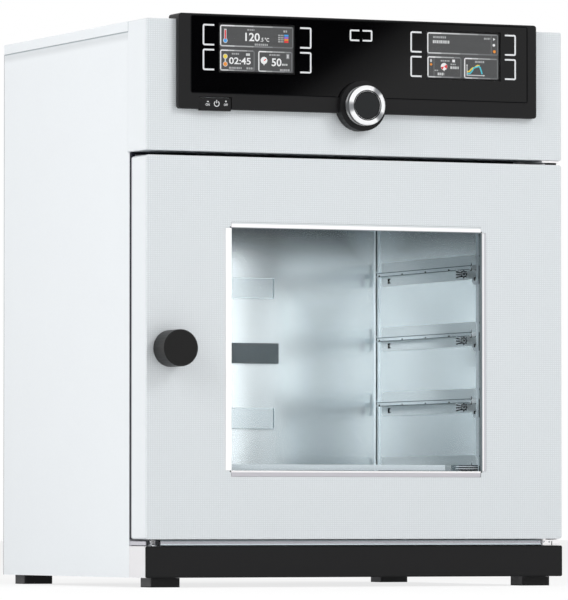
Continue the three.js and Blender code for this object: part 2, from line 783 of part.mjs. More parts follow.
// Door knob and latch: knob, spindle, bush in the door, latch bar and keeper
function buildLatch(body, door) {
  const bore = spindleRadius + fit;
  const front = -knobLength;
  const back = -knobGap;
  piece(door, 'door_knob', turnedY([
    [0, front], [knobRadius - knobEdge, front], [knobRadius, front + knobEdge], [knobRadius, back],
    [bore, back], [bore, back - knobBore], [0, back - knobBore],
  ], knobX, knobZ), blackPlastic());

  piece(door, 'latch_spindle', join(
    rodY(spindleRadius, knobX, knobZ, back - knobBore + fit, spindleEnd, smallSteps),
    block(knobX - camHalfWidth, knobX + camHalfWidth, camFront, camFront + camThickness,
      knobZ - camLength / 2, knobZ + camLength / 2),
  ), brightSteel());

  const collarFront = sheet + fit;
  const collarBack = collarFront + knobBushCollar;
  const collar = knobBushRadius + knobBushCollar;
  const bushBack = doorThickness;
  piece(door, 'knob_bush', turnedY([
    [bore, 0], [knobBushRadius, 0], [knobBushRadius, collarFront], [collar, collarFront],
    [collar, collarBack], [knobBushRadius, collarBack], [knobBushRadius, bushBack], [bore, bushBack],
    [bore, 0],
  ], knobX, knobZ, smallSteps), brass());

  const keeperShape = rect(knobX - keeperHalf, knobX + keeperHalf,
    knobZ - slotHalfHeight - keeperLand, knobZ + slotHalfHeight + keeperLand);
  withHole(keeperShape, rect(knobX - slotHalfWidth, knobX + slotHalfWidth,
    knobZ - slotHalfHeight, knobZ + slotHalfHeight));
  piece(body, 'latch_keeper',
    frontPlate(keeperShape, keeperFront, keeperFront + keeperSheet), brightSteel());
}

// Rest roller: a small wheel on the base block that the closed door stands on
function buildRoller(body) {
  const x = -bodyHalf + rollerInset;
  const y = rollerSetback;
  const floor = plinthTop + fit;
  const radius = (gapBelowDoor - rollerPlate - 3 * fit) / 2;
  const axleZ = floor + rollerPlate + fit + radius;
  const half = rollerWidth / 2 + fit;
  const foot = block(x - half - rollerPlate, x + half + rollerPlate, y - radius - rollerFootMargin,
    y + radius + rollerFootMargin, floor, floor + rollerPlate);
  const ear = (x0) => block(x0, x0 + rollerPlate, y - rollerEar, y + rollerEar, floor, axleZ + rollerEar);
  const axle = rodX(rollerAxle, y, axleZ, x - half - rollerPlate / 2, x + half + rollerPlate / 2);
  piece(body, 'roller_bracket', join(foot, ear(x - half - rollerPlate), ear(x + half), axle), brightSteel());
  piece(body, 'rest_roller', cut(
    rodX(radius, y, axleZ, x - rollerWidth / 2, x + rollerWidth / 2),
    rodX(rollerAxle + fit, y, axleZ, x - half - overrun, x + half + overrun),
  ), brightSteel());
}

// Control panel
function panelGlassShape(grow) {
  const half = bezelHalf - glassSideInset + grow;
  return roundedRect(panelShift - half, panelShift + half,
    bezelBottom + glassBottomInset - grow, bezelTop - glassTopInset + grow, glassCorner);
}

function switchStem(grow) {
  const x = switchLeft + switchWidth / 2;
  const z = switchBottom + switchHeight / 2;
  return {
    x0: x - switchStemWidth / 2 - grow,
    x1: x + switchStemWidth / 2 + grow,
    z0: z - switchStemHeight / 2 - grow,
    z1: z + switchStemHeight / 2 + grow,
  };
}

function displayBlock(sign, grow, y0, y1) {
  const x = panelShift + sign * displayOffset;
  return block(x - displayWidth / 2 - grow, x + displayWidth / 2 + grow, y0, y1,
    displayBottom - grow, displayTop + grow);
}

function buildControls() {
  const controls = new THREE.Group();
  const bezelShape = () => roundedRect(-bezelHalf, bezelHalf, bezelBottom, bezelTop, bezelCorner);
  const back = -fit;

  const lip = keepInside(
    frontPlate(bezelShape(), -bezelProud / 2, lipDepth),
    block(-bodyHalf, bodyHalf, -bezelProud, lipDepth + overrun, headTop + fit, bezelTop + overrun),
  );
  const pocket = frontPlate(panelGlassShape(fit), -bezelProud - overrun, displayFront);
  const switchRoom = block(switchLeft - fit, switchLeft + switchWidth + switchGap,
    -bezelProud - overrun, overrun, bezelBottom - overrun, switchBottom + switchHeight + switchGap);
  const boss = rodY(bossRadius, panelShift, bossZ, -bossProud, back);
  const panel = cut(
    softPlate(bezelShape(), -bezelProud, back, edgeRound),
    pocket,
    switchRoom,
    displayBlock(-1, fit, -bezelProud - overrun, overrun),
    displayBlock(1, fit, -bezelProud - overrun, overrun),
  );
  piece(controls, 'cockpit_bezel', cut(
    join(panel, lip, boss),
    rodY(hubRadius + fit, panelShift, bossZ, -bossProud - overrun, overrun),
  ), blackPlastic());

  const glassFront = -bezelProud + panelGlassSink;
  piece(controls, 'cockpit_glass', cut(
    frontPlate(panelGlassShape(0), glassFront, glassFront + panelGlass),
    rodY(bossRadius + fit, panelShift, bossZ, glassFront - overrun, glassFront + panelGlass + overrun),
  ), finish(0x050505, 0.08, 0));

  piece(controls, 'display_left', displayBlock(-1, 0, displayFront, displayFront + displayThickness),
    finish(0x4b4b4b, 0.4, 0));
  piece(controls, 'display_right', displayBlock(1, 0, displayFront, displayFront + displayThickness),
    finish(0x4b4b4b, 0.4, 0));

  const boardHalf = displayOffset + displayWidth / 2 + openingMargin - fit;
  piece(controls, 'control_board', block(panelShift - boardHalf, panelShift + boardHalf,
    boardFront, boardFront + boardThickness, displayBottom - openingMargin + fit, displayTop), boardGreen());

  piece(controls, 'encoder',
    rodY(encoderRadius, panelShift, bossZ, 0, encoderDepth, smallSteps), greySteel());

  const hubEnd = back - fit;
  const hubBore = hubRadius - hubWall;
  const ringInner = keyRadius + fit;
  const webFront = ringBack - ringWeb;
  piece(controls, 'control_ring', turnedY([
    [ringInner, ringFront], [ringRadius - ringEdge, ringFront], [ringRadius, ringFront + ringEdge],
    [ringRadius, ringBack], [hubRadius, ringBack], [hubRadius, hubEnd], [hubBore, hubEnd],
    [hubBore, webFront], [ringInner, webFront], [ringInner, ringFront],
  ], panelShift, bossZ), finish(0xd0d2d4, 0.15, 1));

  const keyFront = ringFront + keyInset;
  const keyBack = webFront - keyTravel - fit;
  const keyStem = hubBore - fit;
  const stemEnd = hubEnd - keyTravel;
  piece(controls, 'confirm_key', turnedY([
    [0, keyFront], [keyRadius - keyEdge, keyFront], [keyRadius, keyFront + keyEdge], [keyRadius, keyBack],
    [keyStem, keyBack], [keyStem, stemEnd], [0, stemEnd],
  ], panelShift, bossZ), blackPlastic());

  const switchFront = -bezelProud + fit;
  const switchBack = back - switchTravel - fit;
  const stem = switchStem(0);
  piece(controls, 'main_switch', join(
    block(switchLeft, switchLeft + switchWidth, switchFront, switchBack, switchBottom,
      switchBottom + switchHeight),
    block(stem.x0, stem.x1, switchBack - fit, switchStemReach, stem.z0, stem.z1),
  ), blackPlastic());
  return controls;
}

// Services behind the vessel and in the head
function buildServices() {
  const services = new THREE.Group();
  const valveFront = vesselBack + pipeLength;
  const valveBack = valveFront + valveDepth;
  for (const line of lines) {
    piece(services, `${line.name}_valve`, join(
      tubeY(line.radius, line.bore, line.x, line.z, chamberBack, valveFront),
      block(line.x - line.valve / 2, line.x + line.valve / 2, valveFront - fit, valveBack,
        line.z - line.valve / 2, line.z + line.valve / 2),
    ), brass());
    const end = bodyDepth + portReach;
    const start = valveBack + fit;
    const flangeFront = end - portFlangeThickness;
    piece(services, `${line.name}_port`, turnedY([
      [line.bore, start], [line.radius, start], [line.radius, flangeFront], [line.flange, flangeFront],
      [line.flange, end], [line.bore, end], [line.bore, start],
    ], line.x, line.z, smallSteps), brightSteel());
  }

  const sensorFront = vesselBack + fit;
  piece(services, 'pressure_sensor', turnedY([
    [0, chamberBack], [ventPipeRadius, chamberBack], [ventPipeRadius, sensorFront],
    [sensorRadius, sensorFront], [sensorRadius, sensorFront + sensorLength], [0, sensorFront + sensorLength],
  ], sensorX, sensorZ, smallSteps), brightSteel());

  piece(services, 'mains_inlet', mainsInlet(), blackPlastic());

  const powerBack = headDepth - powerRearInset;
  const powerBottom = headBottom + sheet + fit;
  piece(services, 'power_unit', block(powerOffset - powerWidth / 2, powerOffset + powerWidth / 2,
    powerBack - powerDepth, powerBack, powerBottom, powerBottom + powerHeight), greySteel());
  return services;
}

// Mains inlet: a flanged body with a recess and three flat pins
function mainsInlet() {
  const x = -inletOffset;
  const z = panBottom + inletRise;
  const plateFront = bodyDepth + fit;
  const plateBack = plateFront + inletPlate;
  const bodyFront = plateFront - inletDepth;
  const centred = (width, height, y0, y1) => block(x - width / 2, x + width / 2, y0, y1,
    z - height / 2, z + height / 2);
  const floor = bodyFront + inletFloor;
  const pins = [-inletPinSpread, 0, inletPinSpread].map((offset) => block(
    x + offset - inletPinWidth / 2, x + offset + inletPinWidth / 2,
    bodyFront + inletFloor / 2, plateBack - inletPinSink,
    z - inletPinHeight / 2, z + inletPinHeight / 2));
  const shell = cut(
    join(centred(inletWidth, inletHeight, plateFront, plateBack),
      centred(inletBodyWidth, inletBodyHeight, bodyFront, plateFront + inletPlate / 2)),
    centred(inletBodyWidth - 2 * inletWall, inletBodyHeight - 2 * inletWall, floor, plateBack + overrun),
  );
  return join(shell, ...pins);
}

// The whole oven, with its origin under the middle of its outer box
const oven = new THREE.Group();
const doorGroup = buildDoor();
const body = new THREE.Group();
buildHinges(body, doorGroup);
buildLatch(body, doorGroup);
buildRoller(body);
oven.add(buildCasing(), buildChamber(), body, doorGroup, buildControls(), buildServices());

const frontMost = -knobLength;
const rearMost = bodyDepth + portReach;
oven.position.y = -(frontMost + rearMost) / 2;

export default oven;
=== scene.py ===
"""A bench-top vacuum drying oven, dressed for a studio picture.

The file is laid out as an add-on. Each operator finishes or builds one group of pieces round the
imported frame. Lengths are metres in the frame's axes: X to the right, Y to the back, Z up.
"""

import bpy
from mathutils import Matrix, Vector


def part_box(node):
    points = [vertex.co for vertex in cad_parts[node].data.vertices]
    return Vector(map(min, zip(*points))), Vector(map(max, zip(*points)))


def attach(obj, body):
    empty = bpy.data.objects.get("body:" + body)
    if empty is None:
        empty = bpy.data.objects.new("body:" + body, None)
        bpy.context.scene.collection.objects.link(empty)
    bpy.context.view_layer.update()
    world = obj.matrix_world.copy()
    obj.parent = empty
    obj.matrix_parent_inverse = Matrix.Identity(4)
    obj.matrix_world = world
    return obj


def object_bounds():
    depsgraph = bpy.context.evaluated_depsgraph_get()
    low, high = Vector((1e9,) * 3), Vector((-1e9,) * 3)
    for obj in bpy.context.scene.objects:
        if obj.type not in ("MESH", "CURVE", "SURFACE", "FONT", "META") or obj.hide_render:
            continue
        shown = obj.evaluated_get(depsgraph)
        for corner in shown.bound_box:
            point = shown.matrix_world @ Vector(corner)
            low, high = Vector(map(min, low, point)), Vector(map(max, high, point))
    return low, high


bl_info = {
    "name": "Vacuum drying oven",
    "version": (1, 0, 0),
    "blender": (4, 5, 0),
    "location": "View3D > Sidebar > Oven",
    "description": "Builds the finishes, marks, displays and small fittings of a vacuum drying oven",
    "category": "Object",
}

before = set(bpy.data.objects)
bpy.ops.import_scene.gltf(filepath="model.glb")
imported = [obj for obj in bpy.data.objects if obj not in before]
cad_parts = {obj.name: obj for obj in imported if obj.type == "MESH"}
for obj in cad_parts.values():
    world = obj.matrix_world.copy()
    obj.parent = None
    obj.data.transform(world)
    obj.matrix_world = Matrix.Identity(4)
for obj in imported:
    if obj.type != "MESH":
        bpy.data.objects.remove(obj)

import math

import bmesh
import bpy
from bpy.props import FloatProperty, FloatVectorProperty, PointerProperty
from mathutils import Euler, Vector

CAD_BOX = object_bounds()
MM = 0.001
TRIM_BORDER = 15 * MM
TRIM_SUNK = 8 * MM


# Where things are, read from the frame
def low(node):
    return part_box(node)[0]


def high(node):
    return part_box(node)[1]


def middle(node):
    return (low(node) + high(node)) / 2


# Colours are written as they look on a screen
def linear(*levels):
    def one(level):
        share = level / 255
        return share / 12.92 if share <= 0.04045 else ((share + 0.055) / 1.055) ** 2.4
    return tuple(one(level) for level in levels)


def opaque(colour):
    return (*colour[:3], 1.0)


# Property helpers
def colour_prop(name, description, *levels):
    return FloatVectorProperty(name=name, description=description, subtype="COLOR", size=3,
                               min=0.0, max=1.0, default=linear(*levels))


def length_prop(name, description, millimetres):
    return FloatProperty(name=name, description=description, unit="LENGTH", precision=5,
                         min=0.0, default=millimetres * MM)


def share_prop(name, description, share, top=1.0):
    return FloatProperty(name=name, description=description, subtype="FACTOR", min=0.0, max=top,
                         default=share)


class OvenFinishes(bpy.types.PropertyGroup):
    """Colours and finish values of the oven's materials."""
    front_steel: colour_prop("Front steel", "Textured steel of the door and the head", 212, 217, 220)
    side_steel: colour_prop("Side steel", "Pale steel of the sides and the cover", 232, 236, 239)
    block_white: colour_prop("Base block", "Painted base block under the door", 226, 225, 227)
    frame_grey: colour_prop("Front frame", "Pale sheet seen in the gaps round the door", 222, 222, 228)
    inner_grey: colour_prop("Inner sheets", "Bare sheets inside and behind the oven", 172, 173, 178)
    worn_edge: colour_prop("Worn edges", "Rubbed edges of the painted sheets", 252, 253, 254)
    bezel_black: colour_prop("Bezel", "Moulded bezel, base front and main switch", 20, 20, 21)
    knob_black: colour_prop("Knob", "Door knob", 16, 16, 16)
    key_black: colour_prop("Confirm key", "Key in the middle of the turning ring", 15, 18, 20)
    rubber_black: colour_prop("Feet", "Rubber of the feet", 12, 12, 13)
    # Painted light: the left flank of each foot is painted paler, where the side lamp falls on it.
    foot_flank_light: colour_prop("Foot flanks", "Worn flanks of the feet", 76, 76, 77)
    glass_black: colour_prop("Panel glass", "Black glass of the control panel", 2, 2, 3)
    trim_white: colour_prop("Window trim", "Painted trim round the window", 244, 242, 243)
    trim_shade: colour_prop("Trim shade", "Shaded inner lip of the window's trim", 104, 114, 118)
    chamber_steel: colour_prop("Chamber steel", "Steel inside the chamber", 226, 236, 240)
    # Painted light: the chamber's side walls are painted paler than its back wall.
    side_wall_light: colour_prop("Chamber sides", "Paler steel of the chamber's side walls", 236, 244, 247)
    cover_steel: colour_prop("Socket covers", "Steel of the blank covers on the back wall", 214, 226, 231)
    rail_steel: colour_prop("Rail steel", "Steel of the shelf rails", 216, 226, 230)
    socket_grey: colour_prop("Shelf socket", "Moulded socket on the chamber's back wall", 38, 45, 48)
    socket_rim: colour_prop("Socket rim", "Edges of the shelf socket", 40, 47, 50)
    bright_steel: colour_prop("Bright steel", "Turned and pressed fittings", 214, 216, 219)
    seam_line: colour_prop("Skirt seam", "Line between a side and the cover's skirt", 160, 171, 177)
    seam_shade: colour_prop("Skirt shade", "Soft shade under the cover's skirt", 216, 220, 223)
    chrome: colour_prop("Chrome", "Turning ring", 240, 241, 242)
    # Painted reflection: darker arcs on the turning ring's face.
    ring_reflection_arc: colour_prop("Chrome arcs", "Darker arcs round the turning ring", 128, 130, 133)
    chrome_rim: colour_prop("Chrome rim", "Shaded rear of the turning ring", 96, 98, 101)
    groove: colour_prop("Grooves", "Lines where two mouldings meet", 3, 4, 5)
    # Painted shade: the dark strips in the gaps beside and above the door.
    gap_shade: colour_prop("Gasket", "Soft strip in the gap beside the door", 22, 24, 34)
    brass: colour_prop("Brass", "Valves and bushes", 181, 148, 86)
    seal_red: colour_prop("Door seal", "Soft seal on the chamber's flange", 138, 47, 42)
    wool: colour_prop("Insulation", "Mineral wool round the vessel", 205, 192, 150)
    board_green: colour_prop("Circuit board", "Control board behind the displays", 28, 88, 58)
    pane_tint: colour_prop("Door glass", "Tint of the panes in the door", 16, 24, 26)
    pane_cover: share_prop("Door glass cover", "How much each pane of the door hides", 0.05)
    grain_depth: length_prop("Steel grain depth", "Height of the fine texture on the front steel", 0.03)
    emboss_across: length_prop("Emboss across", "Pitch of the pressed pattern from side to side", 2.92)
    emboss_up: length_prop("Emboss up", "Pitch of the pressed pattern from foot to top", 2.5)
    emboss_tone: share_prop("Emboss tone", "How much the pressed pattern changes the shade", 0.055)
    wear: share_prop("Edge wear", "How much the edges of the casing are rubbed", 0.35)


class OvenMarks(bpy.types.PropertyGroup):
    """Sizes and colours of marks, displays and small fittings."""
    print_grey: colour_prop("Printed grey", "Printed key brackets on the panel glass", 214, 216, 218)
    print_white: colour_prop("Printed white", "Printed marks on the main switch", 206, 208, 210)
    screen_ground: colour_prop("Screen ground", "Grey ground of both displays", 70, 71, 72)
    recess: colour_prop("Recess", "Cuts of the screw heads and relief holes", 16, 17, 18)
    print_depth: length_prop("Print depth", "How far a printed mark stands proud", 0.05)
    bracket_line: length_prop("Bracket line", "Width of the printed key brackets", 2.0)
    rail_line: colour_prop("Rail line", "Shaded edges of the shelf rails' ledges", 92, 108, 114)
    seam_dark: colour_prop("Chamber seam", "Dark seam in the chamber's rear corners", 24, 34, 39)
    pale_edge: colour_prop("Pale edges", "Bright rims of the chamber's sheets", 212, 224, 230)
    grey_edge: colour_prop("Grey edges", "Shaded rims of the chamber's sheets", 150, 163, 168)
    strip_grey: colour_prop("Base strip", "Pale strip under the door", 190, 189, 196)
    screw_radius: length_prop("Screw head radius", "Pan-head screws of the casing", 3.2)
    dimple_radius: length_prop("Corner relief radius", "Small relief holes at the window's corners", 0.9)


class OvenStage(bpy.types.PropertyGroup):
    """Light, floor and camera of the studio."""
    fill_light: FloatProperty(name="Fill light", description="Even light from all round", min=0.0,
                              default=0.55)
    key_power: FloatProperty(name="Key lamp", description="Large lamp at the upper right front",
                             subtype="POWER", unit="POWER", min=0.0, default=60.0)
    side_power: FloatProperty(name="Side lamp", description="Large soft lamp at the left",
                              subtype="POWER", unit="POWER", min=0.0, default=60.0)
    chamber_power: FloatProperty(name="Chamber lamp", description="Soft lamp inside the chamber's front",
                                 subtype="POWER", unit="POWER", min=0.0, default=1.04)
    glow_power: FloatProperty(name="Door glow", description="Faint panel that the back wall mirrors",
                              subtype="POWER", unit="POWER", min=0.0, default=0.016)
    floor_colour: colour_prop("Floor", "Plain pale floor", 250, 250, 250)
    floor_shadow: share_prop("Floor shadow", "How much of the floor's own shading the camera sees", 0.25)
    focal_length: FloatProperty(name="Focal length", description="Long lens of the picture",
                                unit="CAMERA", min=1.0, default=360.94)
    camera_yaw: FloatProperty(name="Camera yaw", description="Turn of the camera from straight on",
                              subtype="ANGLE", unit="ROTATION", default=math.radians(24.004))
    camera_pitch: FloatProperty(name="Camera pitch", description="Upward tilt of the camera",
                                subtype="ANGLE", unit="ROTATION", default=math.radians(2.054))


def props():
    scene = bpy.context.scene
    return scene.oven_finishes, scene.oven_marks, scene.oven_stage


# Node trees
def feed(tree, socket, value):
    if isinstance(value, bpy.types.NodeSocket):
        tree.links.new(value, socket)
    else:
        socket.default_value = value


def fill(tree, made, inputs):
    for name, value in inputs.items():
        feed(tree, made.inputs[name], value)


def node(tree, kind, inputs, **settings):
    made = tree.nodes.new(kind)
    for name, value in settings.items():
        setattr(made, name, value)
    fill(tree, made, inputs)
    return made


def calc(tree, operation, *values):
    return node(tree, "ShaderNodeMath", dict(enumerate(values)), operation=operation).outputs[0]


def vector_calc(tree, operation, *values, output="Vector"):
    made = node(tree, "ShaderNodeVectorMath", dict(enumerate(values)), operation=operation)
    return made.outputs[output]


def product(tree, first, *others):
    for other in others:
        first = calc(tree, "MULTIPLY", first, other)
    return first


def scaled(tree, colour, level):
    """A colour times a level."""
    return node(tree, "ShaderNodeVectorMath", {0: colour, "Scale": level}, operation="SCALE").outputs[0]


def ramp(tree, value, low_value, high_value, low_out=0.0, high_out=1.0):
    ends = dict(enumerate((value, low_value, high_value, low_out, high_out)))
    return node(tree, "ShaderNodeMapRange", ends, interpolation_type="SMOOTHSTEP").outputs["Result"]


def noise(tree, place, scale, detail):
    return node(tree, "ShaderNodeTexNoise", {"Vector": place, "Scale": scale, "Detail": detail}).outputs[0]


def parts(tree, vector):
    """The x, y and z of a vector."""
    return node(tree, "ShaderNodeSeparateXYZ", {"Vector": vector}).outputs


def place_on(tree):
    """Where on its piece a point lies, in the frame's axes."""
    return tree.nodes.new("ShaderNodeTexCoord").outputs["Object"]


KINDS = {"colour": "NodeSocketColor", "value": "NodeSocketFloat", "vector": "NodeSocketVector"}
BOX_INPUTS = [("Low corner", "vector", (0.0, 0.0, 0.0)), ("High corner", "vector", (1.0, 1.0, 1.0))]


def start_group(name, inputs, outputs):
    """A shader node group with named inputs and outputs. Returns its tree, its inputs and its end node."""
    tree = bpy.data.node_groups.new(name, "ShaderNodeTree")
    for label, kind, default in inputs:
        socket = tree.interface.new_socket(label, in_out="INPUT", socket_type=KINDS[kind])
        socket.default_value = default
    for label, kind in outputs:
        tree.interface.new_socket(label, in_out="OUTPUT", socket_type=KINDS[kind])
    return tree, tree.nodes.new("NodeGroupInput").outputs, tree.nodes.new("NodeGroupOutput")


def end_group(tree, end, outputs):
    fill(tree, end, outputs)
    return tree


def depth_inside(tree, given, place):
    """How deep a place lies in a box, along x, y and z."""
    over = vector_calc(tree, "SUBTRACT", place, given["Low corner"])
    under = vector_calc(tree, "SUBTRACT", given["High corner"], place)
    return parts(tree, vector_calc(tree, "MINIMUM", over, under))


def surface_group():
    """Fine grain, soft mottle and smudges that every material takes with its own values."""
    tree, given, end = start_group("oven_surface", [
        ("Colour", "colour", (0.5, 0.5, 0.5, 1.0)),
        ("Roughness", "value", 0.5),
        ("Mottle size", "value", 0.003),
        ("Mottle", "value", 0.03),
        ("Grain size", "value", 0.0008),
        ("Grain depth", "value", 0.00002),
        ("Smudge", "value", 0.05),
        ("Stretch", "vector", (1.0, 1.0, 1.0)),
    ], [("Colour", "colour"), ("Roughness", "value"), ("Height", "value")])
    smudge_size, mottle_gain, smudge_gain = 70 * MM, 4.0, 0.4
    place = place_on(tree)
    stretched = vector_calc(tree, "MULTIPLY", place, given["Stretch"])

    def swing(where, size, detail):
        return calc(tree, "SUBTRACT", noise(tree, where, calc(tree, "DIVIDE", 1.0, size), detail), 0.5)

    mottle = swing(stretched, given["Mottle size"], 2.0)
    grain = swing(stretched, given["Grain size"], 1.0)
    smudge = swing(place, smudge_size, 3.0)
    level = calc(tree, "MULTIPLY_ADD", mottle, product(tree, given["Mottle"], mottle_gain), 1.0)
    level = calc(tree, "MULTIPLY_ADD", smudge, product(tree, given["Smudge"], smudge_gain), level)
    return end_group(tree, end, {
        "Colour": scaled(tree, given["Colour"], level),
        "Roughness": calc(tree, "MULTIPLY_ADD", smudge, given["Smudge"], given["Roughness"]),
        "Height": product(tree, grain, given["Grain depth"]),
    })


def wear_group():
    """A mask along the edges of a box-shaped piece, broken up by noise."""
    tree, given, end = start_group("oven_edge_wear", BOX_INPUTS + [
        ("Width", "value", 0.002),
        ("Amount", "value", 0.3),
        ("Breaks", "value", 1.0),
    ], [("Mask", "value")])
    break_scale, break_low, break_high = 260.0, 0.42, 0.68
    place = place_on(tree)
    x, y, z = depth_inside(tree, given, place)
    small, large = calc(tree, "MINIMUM", x, y), calc(tree, "MAXIMUM", x, y)
    second = calc(tree, "MAXIMUM", small, calc(tree, "MINIMUM", large, z))
    edge = ramp(tree, second, given["Width"], 0.0)
    kept_share = ramp(tree, noise(tree, place, break_scale, 3.0), break_low, break_high)
    lost = calc(tree, "SUBTRACT", kept_share, 1.0)
    broken = calc(tree, "MULTIPLY_ADD", lost, given["Breaks"], 1.0)
    return end_group(tree, end, {"Mask": product(tree, edge, broken, given["Amount"])})


def emboss_group():
    """A pressed pattern of fine rows and columns, as on textured sheet."""
    tree, given, end = start_group("oven_emboss", [
        ("Colour", "colour", (0.5, 0.5, 0.5, 1.0)),
        ("Across", "value", 0.003),
        ("Up", "value", 0.0025),
        ("Tone", "value", 0.02),
        ("Depth", "value", 0.00002),
    ], [("Colour", "colour"), ("Height", "value")])
    row_share, uneven_scale = 1.1, 90.0
    place = place_on(tree)
    x, _, z = parts(tree, place)

    def wave(along, pitch):
        return calc(tree, "SINE", product(tree, calc(tree, "DIVIDE", along, pitch), 2 * math.pi))

    columns, rows = wave(x, given["Across"]), wave(z, given["Up"])
    dots = calc(tree, "MULTIPLY_ADD", columns, rows, product(tree, rows, row_share))
    uneven = ramp(tree, noise(tree, place, uneven_scale, 2.0), 0.25, 0.75, 0.4, 1.0)
    pattern = product(tree, calc(tree, "ADD", columns, dots), uneven)
    level = calc(tree, "MULTIPLY_ADD", pattern, given["Tone"], 1.0)
    return end_group(tree, end, {
        "Colour": scaled(tree, given["Colour"], level),
        "Height": product(tree, pattern, given["Depth"]),
    })


def patch_group():
    """A mask that is one inside a box and fades out over a soft edge."""
    tree, given, end = start_group("oven_patch", BOX_INPUTS + [("Soft", "value", 0.0005)],
                                   [("Mask", "value")])
    x, y, z = depth_inside(tree, given, place_on(tree))
    inside = calc(tree, "MINIMUM", calc(tree, "MINIMUM", x, y), z)
    mask = ramp(tree, inside, product(tree, given["Soft"], -1.0), given["Soft"])
    return end_group(tree, end, {"Mask": mask})


ARC_WAYS = ("First", "Second", "Third")


def arcs_group():
    """Soft arcs round a turned piece that faces the front: painted reflections on its face."""
    tree, given, end = start_group("oven_reflection_arcs", [
        ("Centre", "vector", (0.0, 0.0, 0.0)),
        *((way, "vector", (1.0, 0.0, 0.0)) for way in ARC_WAYS),
        ("Spread", "value", 0.12),
    ], [("Mask", "value")])
    offset = vector_calc(tree, "SUBTRACT", place_on(tree), given["Centre"])
    around = vector_calc(tree, "NORMALIZE", vector_calc(tree, "MULTIPLY", offset, (1.0, 0.0, 1.0)))
    start = calc(tree, "SUBTRACT", 1.0, given["Spread"])
    mask = 0.0
    for way in ARC_WAYS:
        near = vector_calc(tree, "DOT_PRODUCT", around, given[way], output="Value")
        mask = calc(tree, "MAXIMUM", mask, ramp(tree, near, start, 1.0))
    return end_group(tree, end, {"Mask": mask})


MAKERS = {"surface": surface_group, "wear": wear_group, "emboss": emboss_group, "patch": patch_group,
          "arcs": arcs_group}
GROUPS = {}


def grouped(tree, name, inputs):
    """The outputs of a shared group that is made on first use and fed with these inputs."""
    if name not in GROUPS:
        GROUPS[name] = MAKERS[name]()
    return node(tree, "ShaderNodeGroup", inputs, node_tree=GROUPS[name]).outputs


def blend(tree, base, mask, colour):
    """Lays a colour over another where a mask says so."""
    return node(tree, "ShaderNodeMix", {"Factor": mask, 6: base, 7: opaque(colour)},
                data_type="RGBA").outputs[2]


def patch(x_range, y_range, z_range, soft, tint):
    """A tint for what lies inside these ranges. Its soft edge is given in millimetres."""
    return (*zip(x_range, y_range, z_range), soft, tint)


def surface_material(name, colour, roughness, metallic=0.0, mottle=0.02, mottle_size=3.0, grain=0.02,
                     grain_size=0.9, smudge=0.06, stretch=(1.0, 1.0, 1.0), specular=0.5, wear=None,
                     emboss=None, patches=(), arcs=None):
    """A material whose colour, roughness and bump come from the shared groups. Sizes are millimetres."""
    material = bpy.data.materials.new(name)
    material.use_nodes = True
    tree = material.node_tree
    surface = grouped(tree, "surface", {
        "Colour": opaque(colour), "Roughness": roughness, "Mottle size": mottle_size * MM, "Mottle": mottle,
        "Grain size": grain_size * MM, "Grain depth": grain * MM, "Smudge": smudge, "Stretch": stretch})
    base, height = surface["Colour"], surface["Height"]
    if emboss:
        across, up, tone, depth = emboss
        pressed = grouped(tree, "emboss", {"Colour": base, "Across": across, "Up": up, "Tone": tone,
                                           "Depth": depth})
        base, height = pressed["Colour"], calc(tree, "ADD", height, pressed["Height"])
    if wear:
        box_low, box_high, width, amount, worn, breaks = wear
        worn_away = grouped(tree, "wear", {"Low corner": box_low, "High corner": box_high,
                                           "Width": width * MM, "Amount": amount, "Breaks": breaks})
        base = blend(tree, base, worn_away["Mask"], worn)
    for box_low, box_high, soft, tint in patches:
        inside = grouped(tree, "patch", {"Low corner": box_low, "High corner": box_high, "Soft": soft * MM})
        base = blend(tree, base, inside["Mask"], tint)
    # Painted reflection: soft darker arcs round a turned face.
    if arcs:
        centre, degrees, spread, tint = arcs
        turns = [math.radians(angle) for angle in degrees]
        ways = {way: (math.cos(turn), 0.0, math.sin(turn)) for way, turn in zip(ARC_WAYS, turns)}
        turned = grouped(tree, "arcs", {"Centre": centre, "Spread": spread, **ways})
        base = blend(tree, base, turned["Mask"], tint)
    bump = node(tree, "ShaderNodeBump", {"Height": height, "Distance": 1.0, "Strength": 1.0})
    fill(tree, tree.nodes["Principled BSDF"], {
        "Base Color": base, "Roughness": surface["Roughness"], "Normal": bump.outputs["Normal"],
        "Metallic": metallic, "Specular IOR Level": specular})
    return material


def glow_material(name, colour):
    """A lit patch of a display, a touch uneven like a real screen."""
    material = surface_material(name, linear(8, 8, 8), 0.4, mottle=0.0, grain=0.0, smudge=0.02)
    tree = material.node_tree
    lit = grouped(tree, "surface", {"Colour": opaque(colour), "Mottle size": 0.6 * MM, "Mottle": 0.03,
                                    "Smudge": 0.0})
    fill(tree, tree.nodes["Principled BSDF"], {"Emission Color": lit["Colour"], "Emission Strength": 1.0})
    return material


def dress(material, *names):
    """Gives CAD nodes their material."""
    for name in names:
        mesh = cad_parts[name].data
        mesh.materials.clear()
        mesh.materials.append(material)


